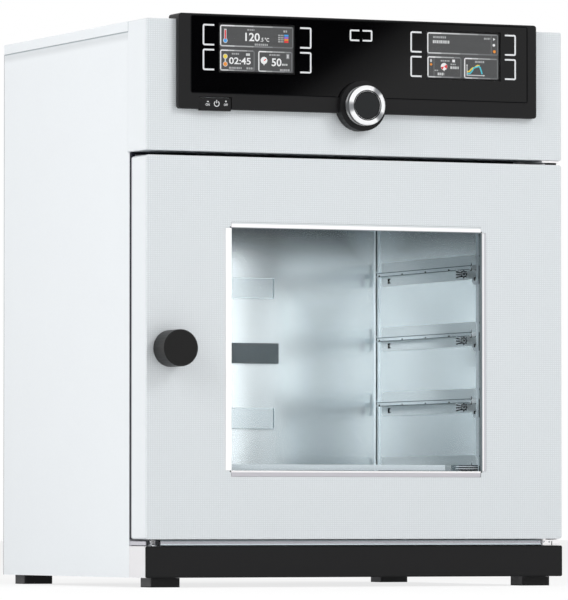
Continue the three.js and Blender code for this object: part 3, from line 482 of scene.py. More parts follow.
# Materials that several pieces wear: name, colour, roughness, metallic share and other values
KEPT = {
    "bright": ("bright_fittings", "bright_steel", 0.24, 0.9, {"grain": 0.004, "stretch": (1, 8, 8)}),
    "dark": ("dark_recess", "recess", 0.6, 0.0, {"grain": 0.004}),
    "groove": ("groove_line", "groove", 0.7, 0.0, {"grain": 0.002, "specular": 0.1}),
    "gap_shade": ("gap_shade_sheet", "gap_shade", 0.7, 0.0, {"grain": 0.01, "specular": 0.2}),
    "black": ("moulded_black", "bezel_black", 0.46, 0.0,
              {"mottle": 0.03, "mottle_size": 1.2, "grain": 0.018, "grain_size": 0.5, "specular": 0.22}),
    "print": ("printed_grey", "print_grey", 0.6, 0.0, {"grain": 0.002}),
    "white_print": ("printed_white", "print_white", 0.6, 0.0, {"grain": 0.002}),
    "seam": ("chamber_seam", "seam_dark", 0.5, 0.3, {"grain": 0.002}),
    "rail_line": ("rail_line", "rail_line", 0.4, 0.5, {"grain": 0.002}),
    "pale": ("chamber_pale", "pale_edge", 0.4, 0.3, {"grain": 0.002}),
    "grey": ("chamber_grey", "grey_edge", 0.4, 0.3, {"grain": 0.002}),
    "strip": ("strip_steel", "strip_grey", 0.4, 0.1, {"mottle": 0.006}),
}

# Lit colours of the displays, as they look on a screen
GLOWS = {
    "lit_white": (236, 237, 238), "lit_bright": (206, 208, 209), "lit_mid": (168, 170, 171),
    "lit_dim": (132, 134, 136), "lit_faint": (106, 108, 110), "lit_red": (226, 48, 52),
    "lit_blue": (66, 162, 236), "lit_cyan": (70, 196, 214), "lit_orange": (236, 146, 44),
    "lit_yellow": (240, 212, 60), "lit_purple": (158, 104, 206),
}
WHITE, BRIGHT, MID, DIM, FAINT, RED, BLUE, CYAN, ORANGE, YELLOW, PURPLE = range(len(GLOWS))

MADE = {}


def kept(name):
    """One of the materials above, made on first use."""
    if name not in MADE and name in GLOWS:
        MADE[name] = glow_material(name, linear(*GLOWS[name]))
    elif name not in MADE:
        finishes, marks, _ = props()
        label, colour, roughness, metallic, others = KEPT[name]
        group = marks if colour in marks.__annotations__ else finishes
        MADE[name] = surface_material(label, getattr(group, colour), roughness, metallic, **others)
    return MADE[name]


# Meshes
class Shape:
    """Gathers closed bodies into one mesh. Each face keeps the number of its material."""

    def __init__(self):
        self.points, self.faces, self.slots = [], [], []

    def add(self, points, faces, slot=0):
        start = len(self.points)
        self.points += [tuple(p) for p in points]
        self.faces += [[start + i for i in face] for face in faces]
        self.slots += [slot] * len(faces)

    def prism(self, ring, rise, slot=0):
        """A closed prism from a ring of points and the way it rises."""
        base = [Vector(p) for p in ring]
        top = [p + Vector(rise) for p in base]
        count = len(base)
        sides = [[i, (i + 1) % count, count + (i + 1) % count, count + i] for i in range(count)]
        self.add(base + top, [list(range(count)), list(range(count, 2 * count)), *sides], slot)

    def box(self, corner_a, corner_b, slot=0):
        (x0, y0, z0), (x1, y1, z1) = corner_a, corner_b
        self.prism([(x0, y0, z0), (x1, y0, z0), (x1, y0, z1), (x0, y0, z1)], (0, y1 - y0, 0), slot)

    def band(self, outer, inner, rise, slot=0):
        """A closed frame between two rings with as many points."""
        count = len(outer)
        step = Vector(rise)
        rings = [[Vector(p) for p in outer], [Vector(p) for p in inner]]
        rings += [[p + step for p in ring] for ring in rings]
        points = [p for ring in rings for p in ring]
        faces = []
        for a, b in ((0, 1), (1, 3), (3, 2), (2, 0)):
            for i in range(count):
                j = (i + 1) % count
                faces.append([a * count + i, a * count + j, b * count + j, b * count + i])
        self.add(points, faces, slot)

    def turned(self, profile, centre, axis="Y", steps=24, slot=0):
        """A closed body turned from (radius, height) points that start and end on the axis, X or Y."""
        rings, points = [], []
        for radius, height in profile:
            ring = []
            for i in range(steps if radius > 0 else 1):
                angle = 2 * math.pi * i / steps
                a, b = radius * math.cos(angle), radius * math.sin(angle)
                offset = (height, a, b) if axis == "X" else (a, height, b)
                ring.append(len(points))
                points.append(Vector(centre) + Vector(offset))
            rings.append(ring)
        faces = []
        for near, far in zip(rings, rings[1:]):
            for i in range(steps):
                j = (i + 1) % steps
                corners = [near[i % len(near)], near[j % len(near)], far[j % len(far)], far[i % len(far)]]
                unique = list(dict.fromkeys(corners))
                if len(unique) > 2:
                    faces.append(unique)
        self.add(points, faces, slot)

    def letters(self, text, x0, x1, z0, z1, front, depth, slot=0):
        """Numbers or letters on a front face, stretched to fill a box."""
        curve = bpy.data.curves.new("letters", "FONT")
        curve.body, curve.size, curve.resolution_u = text, 1.0, 3
        curve.offset, curve.extrude = 0.02, depth / 2
        holder = bpy.data.objects.new("letters", curve)
        bpy.context.scene.collection.objects.link(holder)
        bpy.context.view_layer.update()
        mesh = holder.evaluated_get(bpy.context.evaluated_depsgraph_get()).to_mesh()
        across = [v.co.x for v in mesh.vertices]
        up = [v.co.y for v in mesh.vertices]
        wide = (x1 - x0) / (max(across) - min(across))
        tall = (z1 - z0) / (max(up) - min(up))
        points = [(x0 + (v.co.x - min(across)) * wide, front - depth / 2 - v.co.z,
                   z0 + (v.co.y - min(up)) * tall) for v in mesh.vertices]
        self.add(points, [list(polygon.vertices) for polygon in mesh.polygons], slot)
        bpy.data.objects.remove(holder)
        bpy.data.curves.remove(curve)

    def piece(self, name, body, slot_name, *materials, smooth=None):
        """Turns the bodies into one object, in the materials kept under these names."""
        mesh = bpy.data.meshes.new(name)
        mesh.from_pydata(self.points, [], self.faces)
        for polygon, slot in zip(mesh.polygons, self.slots):
            polygon.material_index = slot
        work = bmesh.new()
        work.from_mesh(mesh)
        bmesh.ops.remove_doubles(work, verts=work.verts, dist=1e-7)
        bmesh.ops.recalc_face_normals(work, faces=work.faces)
        work.to_mesh(mesh)
        work.free()
        if smooth:
            mesh.polygons.foreach_set("use_smooth", [True] * len(mesh.polygons))
            mesh.set_sharp_from_angle(angle=math.radians(smooth))
        for material in materials:
            mesh.materials.append(kept(material))
        made = bpy.data.objects.new(name, mesh)
        bpy.context.scene.collection.objects.link(made)
        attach(made, body)
        return made


def rounded(x0, x1, z0, z1, y, radius, steps=4):
    """A rounded rectangle's ring on a plane that faces the front."""
    ring = []
    for cx, cz, start in ((x1, z1, 0), (x0, z1, 1), (x0, z0, 2), (x1, z0, 3)):
        ox = cx - radius if start in (0, 3) else cx + radius
        oz = cz - radius if start in (0, 1) else cz + radius
        for i in range(steps + 1):
            angle = (start + i / steps) * math.pi / 2
            ring.append((ox + radius * math.cos(angle), y, oz + radius * math.sin(angle)))
    return ring


def ribbon(path, width, y):
    """The ring of a line of even width through (x, z) points, on a plane that faces the front."""
    points = [Vector(p) for p in path]
    sides = ([], [])
    for i, point in enumerate(points):
        ahead = points[min(i + 1, len(points) - 1)] - points[max(i - 1, 0)]
        across = Vector((-ahead.y, ahead.x)).normalized() * width / 2
        sides[0].append(point + across)
        sides[1].append(point - across)
    return [(p.x, y, p.y) for p in sides[0] + sides[1][::-1]]


def arc(x, z, radius, start, end, steps=6):
    """Points along an arc, with its angles in degrees from the right, turning up."""
    angles = [math.radians(start + (end - start) * i / steps) for i in range(steps + 1)]
    return [(x + radius * math.cos(a), z + radius * math.sin(a)) for a in angles]


def disc(x, z, y, radius, steps=20):
    turns = [2 * math.pi * i / steps for i in range(steps)]
    return [(x + radius * math.cos(turn), y, z + radius * math.sin(turn)) for turn in turns]


def screw(shape, centre, outward, radius):
    """A domed screw head with a cross cut in it, on a face that looks to the front or the back."""
    rise = 0.55 * radius * outward
    profile = [(0, -0.2 * rise), (radius, -0.2 * rise), (radius, 0.3 * rise), (0.86 * radius, 0.75 * rise),
               (0.55 * radius, rise), (0, rise)]
    shape.turned(profile, centre, steps=20)
    arm, reach = 0.13 * radius, 0.5 * radius
    for a, b in ((arm, reach), (reach, arm)):
        ring = [Vector(centre) + Vector((x, 0, z)) for x, z in ((-a, -b), (a, -b), (a, b), (-a, b))]
        shape.prism(ring, (0, 1.02 * rise, 0), 1)


class OVEN_OT_casing(bpy.types.Operator):
    """Finish the casing's sheets, the base block and the feet"""
    bl_idname = "oven.casing"
    bl_label = "Casing"

    def execute(self, context):
        finishes, _, _ = props()
        worn = finishes.worn_edge
        for name in ("left_side_panel", "right_side_panel", "top_cover"):
            box_low, box_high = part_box(name)
            reach = 10 * MM
            patches = []
            if name != "top_cover":
                for drop, soft, tint in ((9.0, 4.0, finishes.seam_shade), (1.2, 0.4, finishes.seam_line)):
                    patches.append(patch((box_low.x - reach, box_high.x + reach),
                                         (box_low.y - reach, box_high.y + reach),
                                         (box_high.z - drop * MM, box_high.z + reach), soft, tint))
            wear = (box_low, box_high, 2.5, finishes.wear, worn, 1.0)
            dress(surface_material(f"side_steel_{name}", finishes.side_steel, 0.42, 0.25, mottle=0.008,
                                   grain=0.012, smudge=0.04, wear=wear, patches=patches), name)

        emboss = (finishes.emboss_across, finishes.emboss_up, finishes.emboss_tone, 0.02 * MM)
        skirt = high("top_cover").z - 13 * MM
        for name in ("head_casing", "door_shell"):
            (left, front, foot), (right, rear, top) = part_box(name)
            flanks = []
            # Painted light: both flanks of the head and the door are painted in the paler side steel, as
            # the lit left flank looks; the head also gets a seam line at its rear.
            for x in (left, right):
                flanks.append(patch((x - 0.4 * MM, x + 0.4 * MM), (front + 1.5 * MM, rear + 5 * MM),
                                    (foot, top), 0.2, finishes.side_steel))
                if name == "head_casing":
                    flanks.append(patch((x - MM, x + MM), (rear - 0.9 * MM, rear + MM), (skirt, top + MM),
                                        0.2, finishes.seam_line))
            wear = (*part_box(name), 1.6, finishes.wear, worn, 0.3)
            dress(surface_material(f"front_steel_{name}", finishes.front_steel, 0.46, 0.35, mottle=0.02,
                                   mottle_size=2.2, grain=finishes.grain_depth / MM, grain_size=1.1,
                                   smudge=0.05, wear=wear, emboss=emboss, patches=flanks), name)

        wear = (*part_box("plinth_block"), 2.0, finishes.wear, worn, 1.0)
        dress(surface_material("block_white", finishes.block_white, 0.4, 0.05, mottle=0.006, wear=wear),
              "plinth_block")
        outline = (*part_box("plinth_front"), 2.6, 1.0, finishes.groove, 0.0)
        dress(surface_material("plate_black", finishes.bezel_black, 0.46, mottle=0.03, mottle_size=1.2,
                               grain=0.018, grain_size=0.5, specular=0.2, wear=outline), "plinth_front")
        sheet = {"mottle": 0.02, "grain": 0.01, "stretch": (1, 6, 6)}
        dress(surface_material("front_frame", finishes.frame_grey, 0.5, 0.2, **sheet), "front_frame")
        dress(surface_material("inner_sheets", finishes.inner_grey, 0.5, 0.5, **sheet), "base_pan",
              "rear_panel", "door_inner_frame", "encoder", "power_unit")

        for end in ("front_left", "front_right", "rear_left", "rear_right"):
            (x0, y0, z0), (x1, y1, z1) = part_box(f"foot_{end}")
            # Painted light on each foot's left flank, which faces the side lamp, and painted shade in a
            # dark line along its bottom edge, where it stands on the floor.
            patches = [patch((x0 - MM, x0 + 0.6 * MM), (y0 + 0.6 * MM, y1 + MM), (z0 - MM, z1 + MM), 0.3,
                             finishes.foot_flank_light),
                       patch((x0 - MM, x1 + MM), (y0 - MM, y1 + MM), (z0 - MM, z0 + 1.2 * MM), 0.3,
                             finishes.groove)]
            dress(surface_material(f"foot_rubber_{end}", finishes.rubber_black, 0.6, mottle=0.06,
                                   mottle_size=1.0, grain=0.03, grain_size=0.6, specular=0.25,
                                   patches=patches), f"foot_{end}")
        return {"FINISHED"}


class OVEN_OT_chamber(bpy.types.Operator):
    """Finish the chamber, its rails and the pieces round it"""
    bl_idname = "oven.chamber"
    bl_label = "Chamber"

    def execute(self, context):
        finishes, _, _ = props()
        dress(surface_material("chamber_steel", finishes.chamber_steel, 0.18, 0.85, mottle=0.03,
                               mottle_size=1.8, grain=0.002, smudge=0.05, patches=self.shades(finishes)),
              "chamber")
        rails = [f"shelf_rail_{side}_{i}" for side in ("left", "right") for i in range(1, 5)]
        dress(surface_material("rail_steel", finishes.rail_steel, 0.34, 0.5, mottle=0.02, grain=0.004,
                               stretch=(1, 1, 8)), *rails)
        dress(surface_material("cover_steel", finishes.cover_steel, 0.2, 0.85, mottle=0.012, grain=0.003,
                               stretch=(8, 1, 1)), "socket_cover_1", "socket_cover_3")
        rim = (*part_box("shelf_socket"), 1.6, 1.0, finishes.socket_rim, 0.0)
        dress(surface_material("socket_grey", finishes.socket_grey, 0.5, grain=0.01, wear=rim),
              "shelf_socket")
        dress(surface_material("seal_rubber", finishes.seal_red, 0.6, mottle=0.05, grain=0.02), "door_seal")
        dress(surface_material("mineral_wool", finishes.wool, 0.95, mottle=0.15, mottle_size=6, grain=0.8,
                               grain_size=3), "insulation_jacket")
        return {"FINISHED"}

    @staticmethod
    def shades(finishes):
        """Painted shade: soft darker fields on the back wall, across its top, at its upper left and down
        its right side. Painted light: the paler side walls.
        """
        back = high("socket_cover_1").y
        trim_low, trim_high = low("window_trim").z, high("window_trim").z
        shades = []
        # Painted shade: x range in millimetres, z range, soft edge in millimetres and tint of each darker
        # field on the back wall.
        for x0, x1, z0, z1, soft, tint in (
                (-300, -118, trim_low + 140 * MM, trim_high + 200 * MM, 45.0, (212, 221, 225)),
                (-300, 158, trim_high - 22 * MM, trim_high + 200 * MM, 34.0, (150, 158, 161)),
                (78, 150, trim_low - 200 * MM, trim_high - 78 * MM, 40.0, (190, 200, 204)),
                (66, 150, trim_low - 200 * MM, trim_low + 96 * MM, 45.0, (172, 183, 188))):
            shades.append(patch((x0 * MM, x1 * MM), (back - 50 * MM, back + 60 * MM), (z0, z1), soft,
                                linear(*tint)))
        # Painted light: the side walls, beyond the rails' faces, are painted paler.
        wall, far = high("shelf_rail_right_1").x - 3 * MM, 300 * MM
        for x0, x1 in ((-far, -wall), (wall, far)):
            shades.append(patch((x0, x1), (-far, far), (0, 2 * far), 0.5, finishes.side_wall_light))
        return shades


class OVEN_OT_chamber_seams(bpy.types.Operator):
    """Build the seams in the chamber's corners, its front strips and the covers' edges"""
    bl_idname = "oven.chamber_seams"
    bl_label = "Chamber seams"

    def execute(self, context):
        clear = 0.3 * MM
        half = high("shelf_rail_right_1").x + clear
        back = high("socket_cover_1").y + clear
        front = low("shelf_rail_right_1").y
        box_low, box_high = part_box("chamber")
        wall = box_high.x - half + 0.1 * MM
        bottom, top = box_low.z + wall, box_high.z - wall
        thin = 0.2 * MM
        dark, pale, grey = range(3)
        shape = Shape()
        for side in (-1, 1):
            for near, far, slot in ((1.7, 0.2, dark), (4.2, 1.9, pale)):
                shape.box((side * (half - near * MM), back, bottom),
                          (side * (half - far * MM), back - thin, top), slot)
            for y, near, far, slot in ((back, -4.0, -1.2, pale), (front, -4.0, 3.5, pale),
                                       (front, -11.0, -4.0, grey)):
                shape.box((side * half, y + near * MM, bottom),
                          (side * (half - thin), y + far * MM, top), slot)
            for i in range(1, 5):
                for drop in (10.8, 16.7):
                    z = high(f"shelf_rail_right_{i}").z - drop * MM
                    shape.box((side * (half - 1.4 * MM), back - thin, z - 0.8 * MM),
                              (side * (half - thin), back - 2 * thin, z + 0.8 * MM), pale)
        shape.piece("chamber_seams", "oven", "chamber_steel", "seam", "pale", "grey")

        edges = Shape()
        line = 0.8 * MM
        for name in ("socket_cover_1", "socket_cover_3"):
            box_low, box_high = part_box(name)
            face = box_low.y - thin / 2
            outer = rounded(box_low.x, box_high.x, box_low.z, box_high.z, face, 1.2 * MM)
            inner = rounded(box_low.x + line, box_high.x - line, box_low.z + line, box_high.z - line, face,
                            0.6 * MM)
            edges.band(outer, inner, (0, thin, 0), 0)
            # Painted shadow: a dark line along each cover's right edge.
            edges.box((box_high.x - 1.8 * MM, face - thin / 2, box_low.z + line),
                      (box_high.x - 0.4 * MM, face, box_high.z - line), 1)
        edges.piece("cover_edges", "oven", "chamber_steel", "grey", "rail_line")
        return {"FINISHED"}


class OVEN_OT_rail_clips(bpy.types.Operator):
    """Build the clips, screws, lines and slots on the shelf rails"""
    bl_idname = "oven.rail_clips"
    bl_label = "Rail clips"

    def execute(self, context):
        shape = Shape()
        for side, label in ((-1, "left"), (1, "right")):
            for i in range(1, 5):
                box_low, box_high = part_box(f"shelf_rail_{label}_{i}")
                lip, wall = (box_low.x, box_high.x) if side > 0 else (box_high.x, box_low.x)
                self.level(shape, side, wall, lip, box_low.y, box_high.y, box_high.z)
        shape.piece("rail_clips", "oven", "bright_steel", "seam", "rail_line", "pale", "groove", smooth=40)
        return {"FINISHED"}

    @classmethod
    def level(cls, shape, side, wall, lip, front, rear, top):
        """The fittings of one rail. Places run back from the rail's front end and down from its top."""
        dark, line, pale, black = range(4)
        face = wall - side * 1.5 * MM

        def plate(x, y0, y1, drop0, drop1, slot, proud):
            shape.box((x, front + y0 * MM, top - drop0 * MM),
                      (x - side * proud * MM, front + y1 * MM, top - drop1 * MM), slot)

        def boss(x, y, drop, radius, height, slot):
            shape.turned([(0, 0), (radius * MM, 0), (radius * MM, -side * 0.6 * height * MM),
                          (0.6 * radius * MM, -side * height * MM), (0, -side * height * MM)],
                         (x, front + y * MM, top - drop * MM), "X", 14, slot)

        length = (rear - front) / MM
        plate(lip, 0.3, length - 1.5, 12.5, 13.5, line, 0.2)
        plate(lip, 0.3, length - 1.5, 16.9, 17.9, line, 0.2)
        plate(lip, 0.3, length - 1.5, 13.6, 16.8, pale, 0.1)
        for y in (267.9, 199.9, 131.9, 63.9):
            plate(lip, y - 1.6, y + 1.6, 15.4, 17.6, black, 0.4)
        for y0, y1, drop0, drop1 in ((250.6, 255.4, 20.0, 26.6), (247.6, 250.6, 20.2, 21.6),
                                     (247.6, 250.6, 25.0, 26.4)):
            plate(face, y0, y1, drop0, drop1, black, 0.3)
        for drop in (11.1, 17.0):
            boss(lip, 1.6, drop + 0.6, 2.4, 0.3, black)
            boss(lip - side * 0.3 * MM, 2.0, drop, 1.8, 1.2, pale)
        for drop in (18.0, 28.0):
            boss(face, 1.8, drop, 1.2, 0.4, dark)
        plate(wall + side * 0.1 * MM, -8.9, -4.4, 13.2, 35.6, dark, 0.3)
        y, z, half = front - 8.0 * MM, top - 1.2 * MM, 2 * MM
        shape.prism([(wall, y - half, z), (wall, y, z - half), (wall, y + half, z), (wall, y, z + half)],
                    (-side * 0.3 * MM, 0, 0), dark)
        lobe = [(face, y, z) for y, z in arc(front + 4.0 * MM, top - 29.5 * MM, 7 * MM, 0, 342, 19)]
        shape.prism(lobe, (side * 1.3 * MM, 0, 0), pale)
        boss(face, 4.0, 29.5, 2.2, 0.8, dark)
        cls.spring(shape, side, Vector((face, front + 25.0 * MM, top - 22.7 * MM)))

    @staticmethod
    def spring(shape, side, root):
        """A spring clip that faces the front: a toothed washer round a bright boss, with three prongs."""
        dark, _, pale, black = range(4)
        hub = root - Vector((side * 4.8 * MM, 0, 0))
        teeth = 8
        for radius, valley, slot, layer in ((6.0, 0.62, black, 0), (3.6, 0.42, pale, 1)):
            star = []
            for k in range(2 * teeth):
                reach = radius * (1 if k % 2 == 0 else valley) * MM
                x, z = (reach * share(math.pi * k / teeth) for share in (math.cos, math.sin))
                star.append(hub + Vector((x, -0.5 * layer * MM, z)))
            shape.prism(star, (0, -0.5 * MM, 0), slot)
        shape.turned([(0, 0), (1.5 * MM, 0), (1.5 * MM, -1.2 * MM), (0, -1.2 * MM)], hub, "Y", 12, black)
        half = 1.5 * MM
        shape.box(root - Vector((0, 0, half)), root + Vector((-side * 0.6 * MM, 2 * MM, half)), dark)
        for up in (-3.2, 0.0, 3.2):
            near = hub + Vector((-side * 3.4 * MM, 0, 0.6 * up * MM))
            far = hub + Vector((-side * 10.5 * MM, 0, 1.15 * up * MM))
            for lift, slot, width in ((0.75, pale, 1.5), (-0.85, dark, 1.7)):
                path = [(near.x, near.z + lift * MM), (far.x, far.z + lift * MM)]
                shape.prism(ribbon(path, width * MM, root.y), (0, -0.8 * MM, 0), slot)


class OVEN_OT_door(bpy.types.Operator):
    """Finish the door's trim, glass, knob and hinge pieces"""
    bl_idname = "oven.door"
    bl_label = "Door"

    def execute(self, context):
        finishes, _, _ = props()
        dress(surface_material("window_trim", finishes.trim_white, 0.3, 0.05, mottle=0.006, grain=0.003,
                               patches=self.strips(finishes)), "window_trim")
        for name in ("outer_pane", "inner_glass"):
            glass = surface_material(f"door_glass_{name}", finishes.pane_tint, 0.03, mottle=0.01,
                                     mottle_size=60, grain=0.0, smudge=0.02)
            glass.node_tree.nodes["Principled BSDF"].inputs["Alpha"].default_value = finishes.pane_cover
            dress(glass, name)
            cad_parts[name].visible_glossy = False
        dress(surface_material("knob_black", finishes.knob_black, 0.42, mottle=0.03, mottle_size=0.8,
                               grain=0.015, grain_size=0.45, smudge=0.1, specular=0.24), "door_knob")
        dress(kept("black"), "hinge_bush_upper")
        dress(surface_material("bush_white", finishes.trim_white, 0.35, 0.05, mottle=0.006, grain=0.003),
              "hinge_bush_lower")
        dress(surface_material("bracket_white", finishes.trim_white, 0.4, 0.05, mottle=0.006,
                               grain=0.004), "hinge_bracket_upper", "hinge_bracket_lower")
        dress(kept("bright"), "hinge_pin_upper", "hinge_pin_lower", "latch_spindle", "latch_keeper",
              "roller_bracket")
        dress(surface_material("roller_white", finishes.trim_white, 0.35, mottle=0.01, grain=0.003),
              "rest_roller")
        dress(surface_material("bush_brass", finishes.brass, 0.3, 0.9, mottle=0.03), "knob_bush")
        return {"FINISHED"}

    @staticmethod
    def strips(finishes):
        """Painted light and shade on the trim: its four faces each painted in their own shade as the lamps
        light them, white on the left and greyer on the right, at the foot and at the top, and painted
        shadow on the inner lip at its top and right.
        """
        trim_low, trim_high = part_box("window_trim")
        x, z = 0, 2
        strips = []
        # Painted light and shade: width, tint, axis and far side of each of the trim's faces.
        for wide, tint, axis, far in ((7.0, (255, 255, 255), x, False), (3.3, (196, 197, 202), x, True),
                                      (4.9, (190, 188, 194), z, False), (2.0, (206, 210, 213), z, True)):
            ranges = [(start - MM, end + MM) for start, end in zip(trim_low, trim_high)]
            edge = TRIM_SUNK + wide * MM
            if far:
                ranges[axis] = (trim_high[axis] - edge, trim_high[axis] + MM)
            else:
                ranges[axis] = (trim_low[axis] - MM, trim_low[axis] + edge)
            strips.append(patch(*ranges, 0.3, linear(*tint)))
        # Painted shadow on the trim's inner lip, at its right and top.
        mouth_low, mouth_high = trim_low.x + TRIM_BORDER, trim_high.x - TRIM_BORDER
        mouth_top = trim_high.z - TRIM_BORDER
        front, rear = trim_low.y - MM, trim_high.y + MM
        for x0, x1, z0, z1 in ((mouth_high - MM, mouth_high + 1.6 * MM, trim_low.z, mouth_top),
                               (mouth_low, mouth_high, mouth_top - MM, mouth_top + 0.8 * MM)):
            strips.append(patch((x0, x1), (front, rear), (z0, z1), 0.2, finishes.trim_shade))
        return strips


class OVEN_OT_door_gaps(bpy.types.Operator):
    """Build the dark strips in the gaps round the door, which are painted shade, the base strip under the
    door and the spacer between its panes, both with painted shade
    """
    bl_idname = "oven.door_gaps"
    bl_label = "Door gaps"

    def execute(self, context):
        door_low, door_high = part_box("door_shell")
        frame_low, frame_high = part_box("front_frame")
        face = frame_low.y - 0.2 * MM
        # Painted shade: dark strips on the front frame, in the gaps beside and above the door, where the
        # gaps are in shade.
        shade_strips = Shape()
        shade_strips.box((door_low.x + 0.5 * MM, face - 5.2 * MM, door_low.z),
                    (door_low.x + 5.0 * MM, face, frame_high.z))
        shade_strips.box((door_low.x + 5.2 * MM, face - 3.4 * MM, frame_high.z - 2.6 * MM),
                    (door_high.x - 42.0 * MM, face, frame_high.z))
        shade_strips.piece("gap_shade_strips", "oven", "black_plastic", "gap_shade")

        strip, pale, grey, groove = range(4)
        foot, top = high("plinth_front").z, door_low.z
        start, end = high("rest_roller").x + 2.0 * MM, low("hinge_bracket_lower").x + 9.4 * MM
        front = door_low.y + 5.0 * MM
        sweep = Shape()
        # Painted shade: the grey band at the top of the strip, just under the door's lower edge.
        for y0, y1, z0, z1, slot in ((0.0, 2.4, foot + 0.3 * MM, foot + 1.1 * MM, groove),
                                     (-0.8, 2.0, foot + 1.2 * MM, foot + 2.5 * MM, pale),
                                     (0.0, 1.2, foot + 2.5 * MM, top - 2.4 * MM, strip),
                                     (0.4, 1.2, top - 2.3 * MM, top - 1.3 * MM, grey)):
            sweep.box((start, front + y0 * MM, z0), (end, front + y1 * MM, z1), slot)
        left = door_low.x + 1.0 * MM
        sweep.box((left, front, foot + 1.2 * MM), (left + 1.2 * MM, frame_low.y - 0.6 * MM, top - 2.4 * MM),
                  strip)
        sweep.piece("base_strip", "oven", "white_steel", "strip", "pale", "grey", "groove")

        pale, grey, line, dark = range(4)
        opening = high("window_trim").x - TRIM_BORDER
        foot = low("window_trim").z + TRIM_BORDER + 0.8 * MM
        near = high("outer_pane").y + 0.3 * MM
        spacer = Shape()
        # Painted shade: the spacer darkens in steps towards its right end, a shadow band that fades to the
        # left; the rest of it is pale.
        for start, end, slot in ((44.0, 36.0, grey), (35.8, 26.0, line), (25.8, 0.0, dark),
                                 (2 * opening / MM, 44.2, pale)):
            spacer.box((opening - start * MM, near, foot),
                       (opening - end * MM, near + 2.7 * MM, foot + 6.8 * MM), slot)
        for up in (2.0, 4.6):
            spacer.box((opening - 30.0 * MM, near - 0.1 * MM, foot + up * MM),
                       (opening, near - 0.02 * MM, foot + (up + 0.8) * MM), pale)
        spacer.piece("pane_spacer_and_shade", "door", "trim", "pale", "grey", "rail_line", "seam")
        return {"FINISHED"}


class OVEN_OT_window_corners(bpy.types.Operator):
    """Build the small relief holes at the corners of the window's trim"""
    bl_idname = "oven.window_corners"
    bl_label = "Window corners"

    def execute(self, context):
        _, marks, _ = props()
        trim_low, trim_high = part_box("window_trim")
        front = low("door_shell").y + 0.02 * MM
        radius = marks.dimple_radius
        border = TRIM_BORDER - radius
        shape = Shape()
        for x in (trim_low.x + border, trim_high.x - border):
            for z in (trim_low.z + border, trim_high.z - border):
                shape.prism(disc(x, z, front, radius), (0, -marks.print_depth, 0))
        shape.piece("window_corner_reliefs", "door", "black_plastic", "dark")
        return {"FINISHED"}


class OVEN_OT_screws(bpy.types.Operator):
    """Build the screws of the rear panel, the mains inlet and the hinge brackets"""
    bl_idname = "oven.screws"
    bl_label = "Screws"

    def execute(self, context):
        _, marks, _ = props()
        radius = marks.screw_radius
        rear = Shape()
        panel_low, panel_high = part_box("rear_panel")
        centre = middle("rear_panel").z
        inset = 12 * MM
        for x in (panel_low.x + inset, 0, panel_high.x - inset):
            for z in (panel_low.z + inset, centre, panel_high.z - inset):
                if x or z != centre:
                    screw(rear, (x, panel_high.y, z), 1, radius)
        inlet_low, inlet_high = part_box("mains_inlet")
        for x in (inlet_low.x + 5 * MM, inlet_high.x - 5 * MM):
            screw(rear, (x, inlet_high.y, middle("mains_inlet").z), 1, 0.6 * radius)
        rear.piece("rear_screws", "oven", "bright_steel", "bright", "dark", smooth=40)

        hinge = Shape()
        plate_edge = 16 * MM
        for end, spots in (("upper", (9.0, 30.0)), ("lower", (14.5, 23.5))):
            arm_low, arm_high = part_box(f"hinge_bracket_{end}")
            z = arm_high.z - plate_edge if end == "upper" else arm_low.z + plate_edge
            for x in spots:
                screw(hinge, (arm_low.x + x * MM, arm_high.y - 2.7 * MM, z), -1, 0.85 * radius)
        for x in (12.2, 19.5):
            screw(hinge, (arm_low.x + x * MM, arm_low.y, arm_low.z + 4.4 * MM), -1, 0.4 * radius)
        hinge.box((arm_low.x + 22.4 * MM, arm_low.y - 0.15 * MM, arm_low.z),
                  (arm_low.x + 23.3 * MM, arm_low.y - 0.02 * MM, arm_low.z + 5.0 * MM), 1)
        hinge.piece("hinge_screws", "oven", "bright_steel", "bright", "dark", smooth=40)
        return {"FINISHED"}


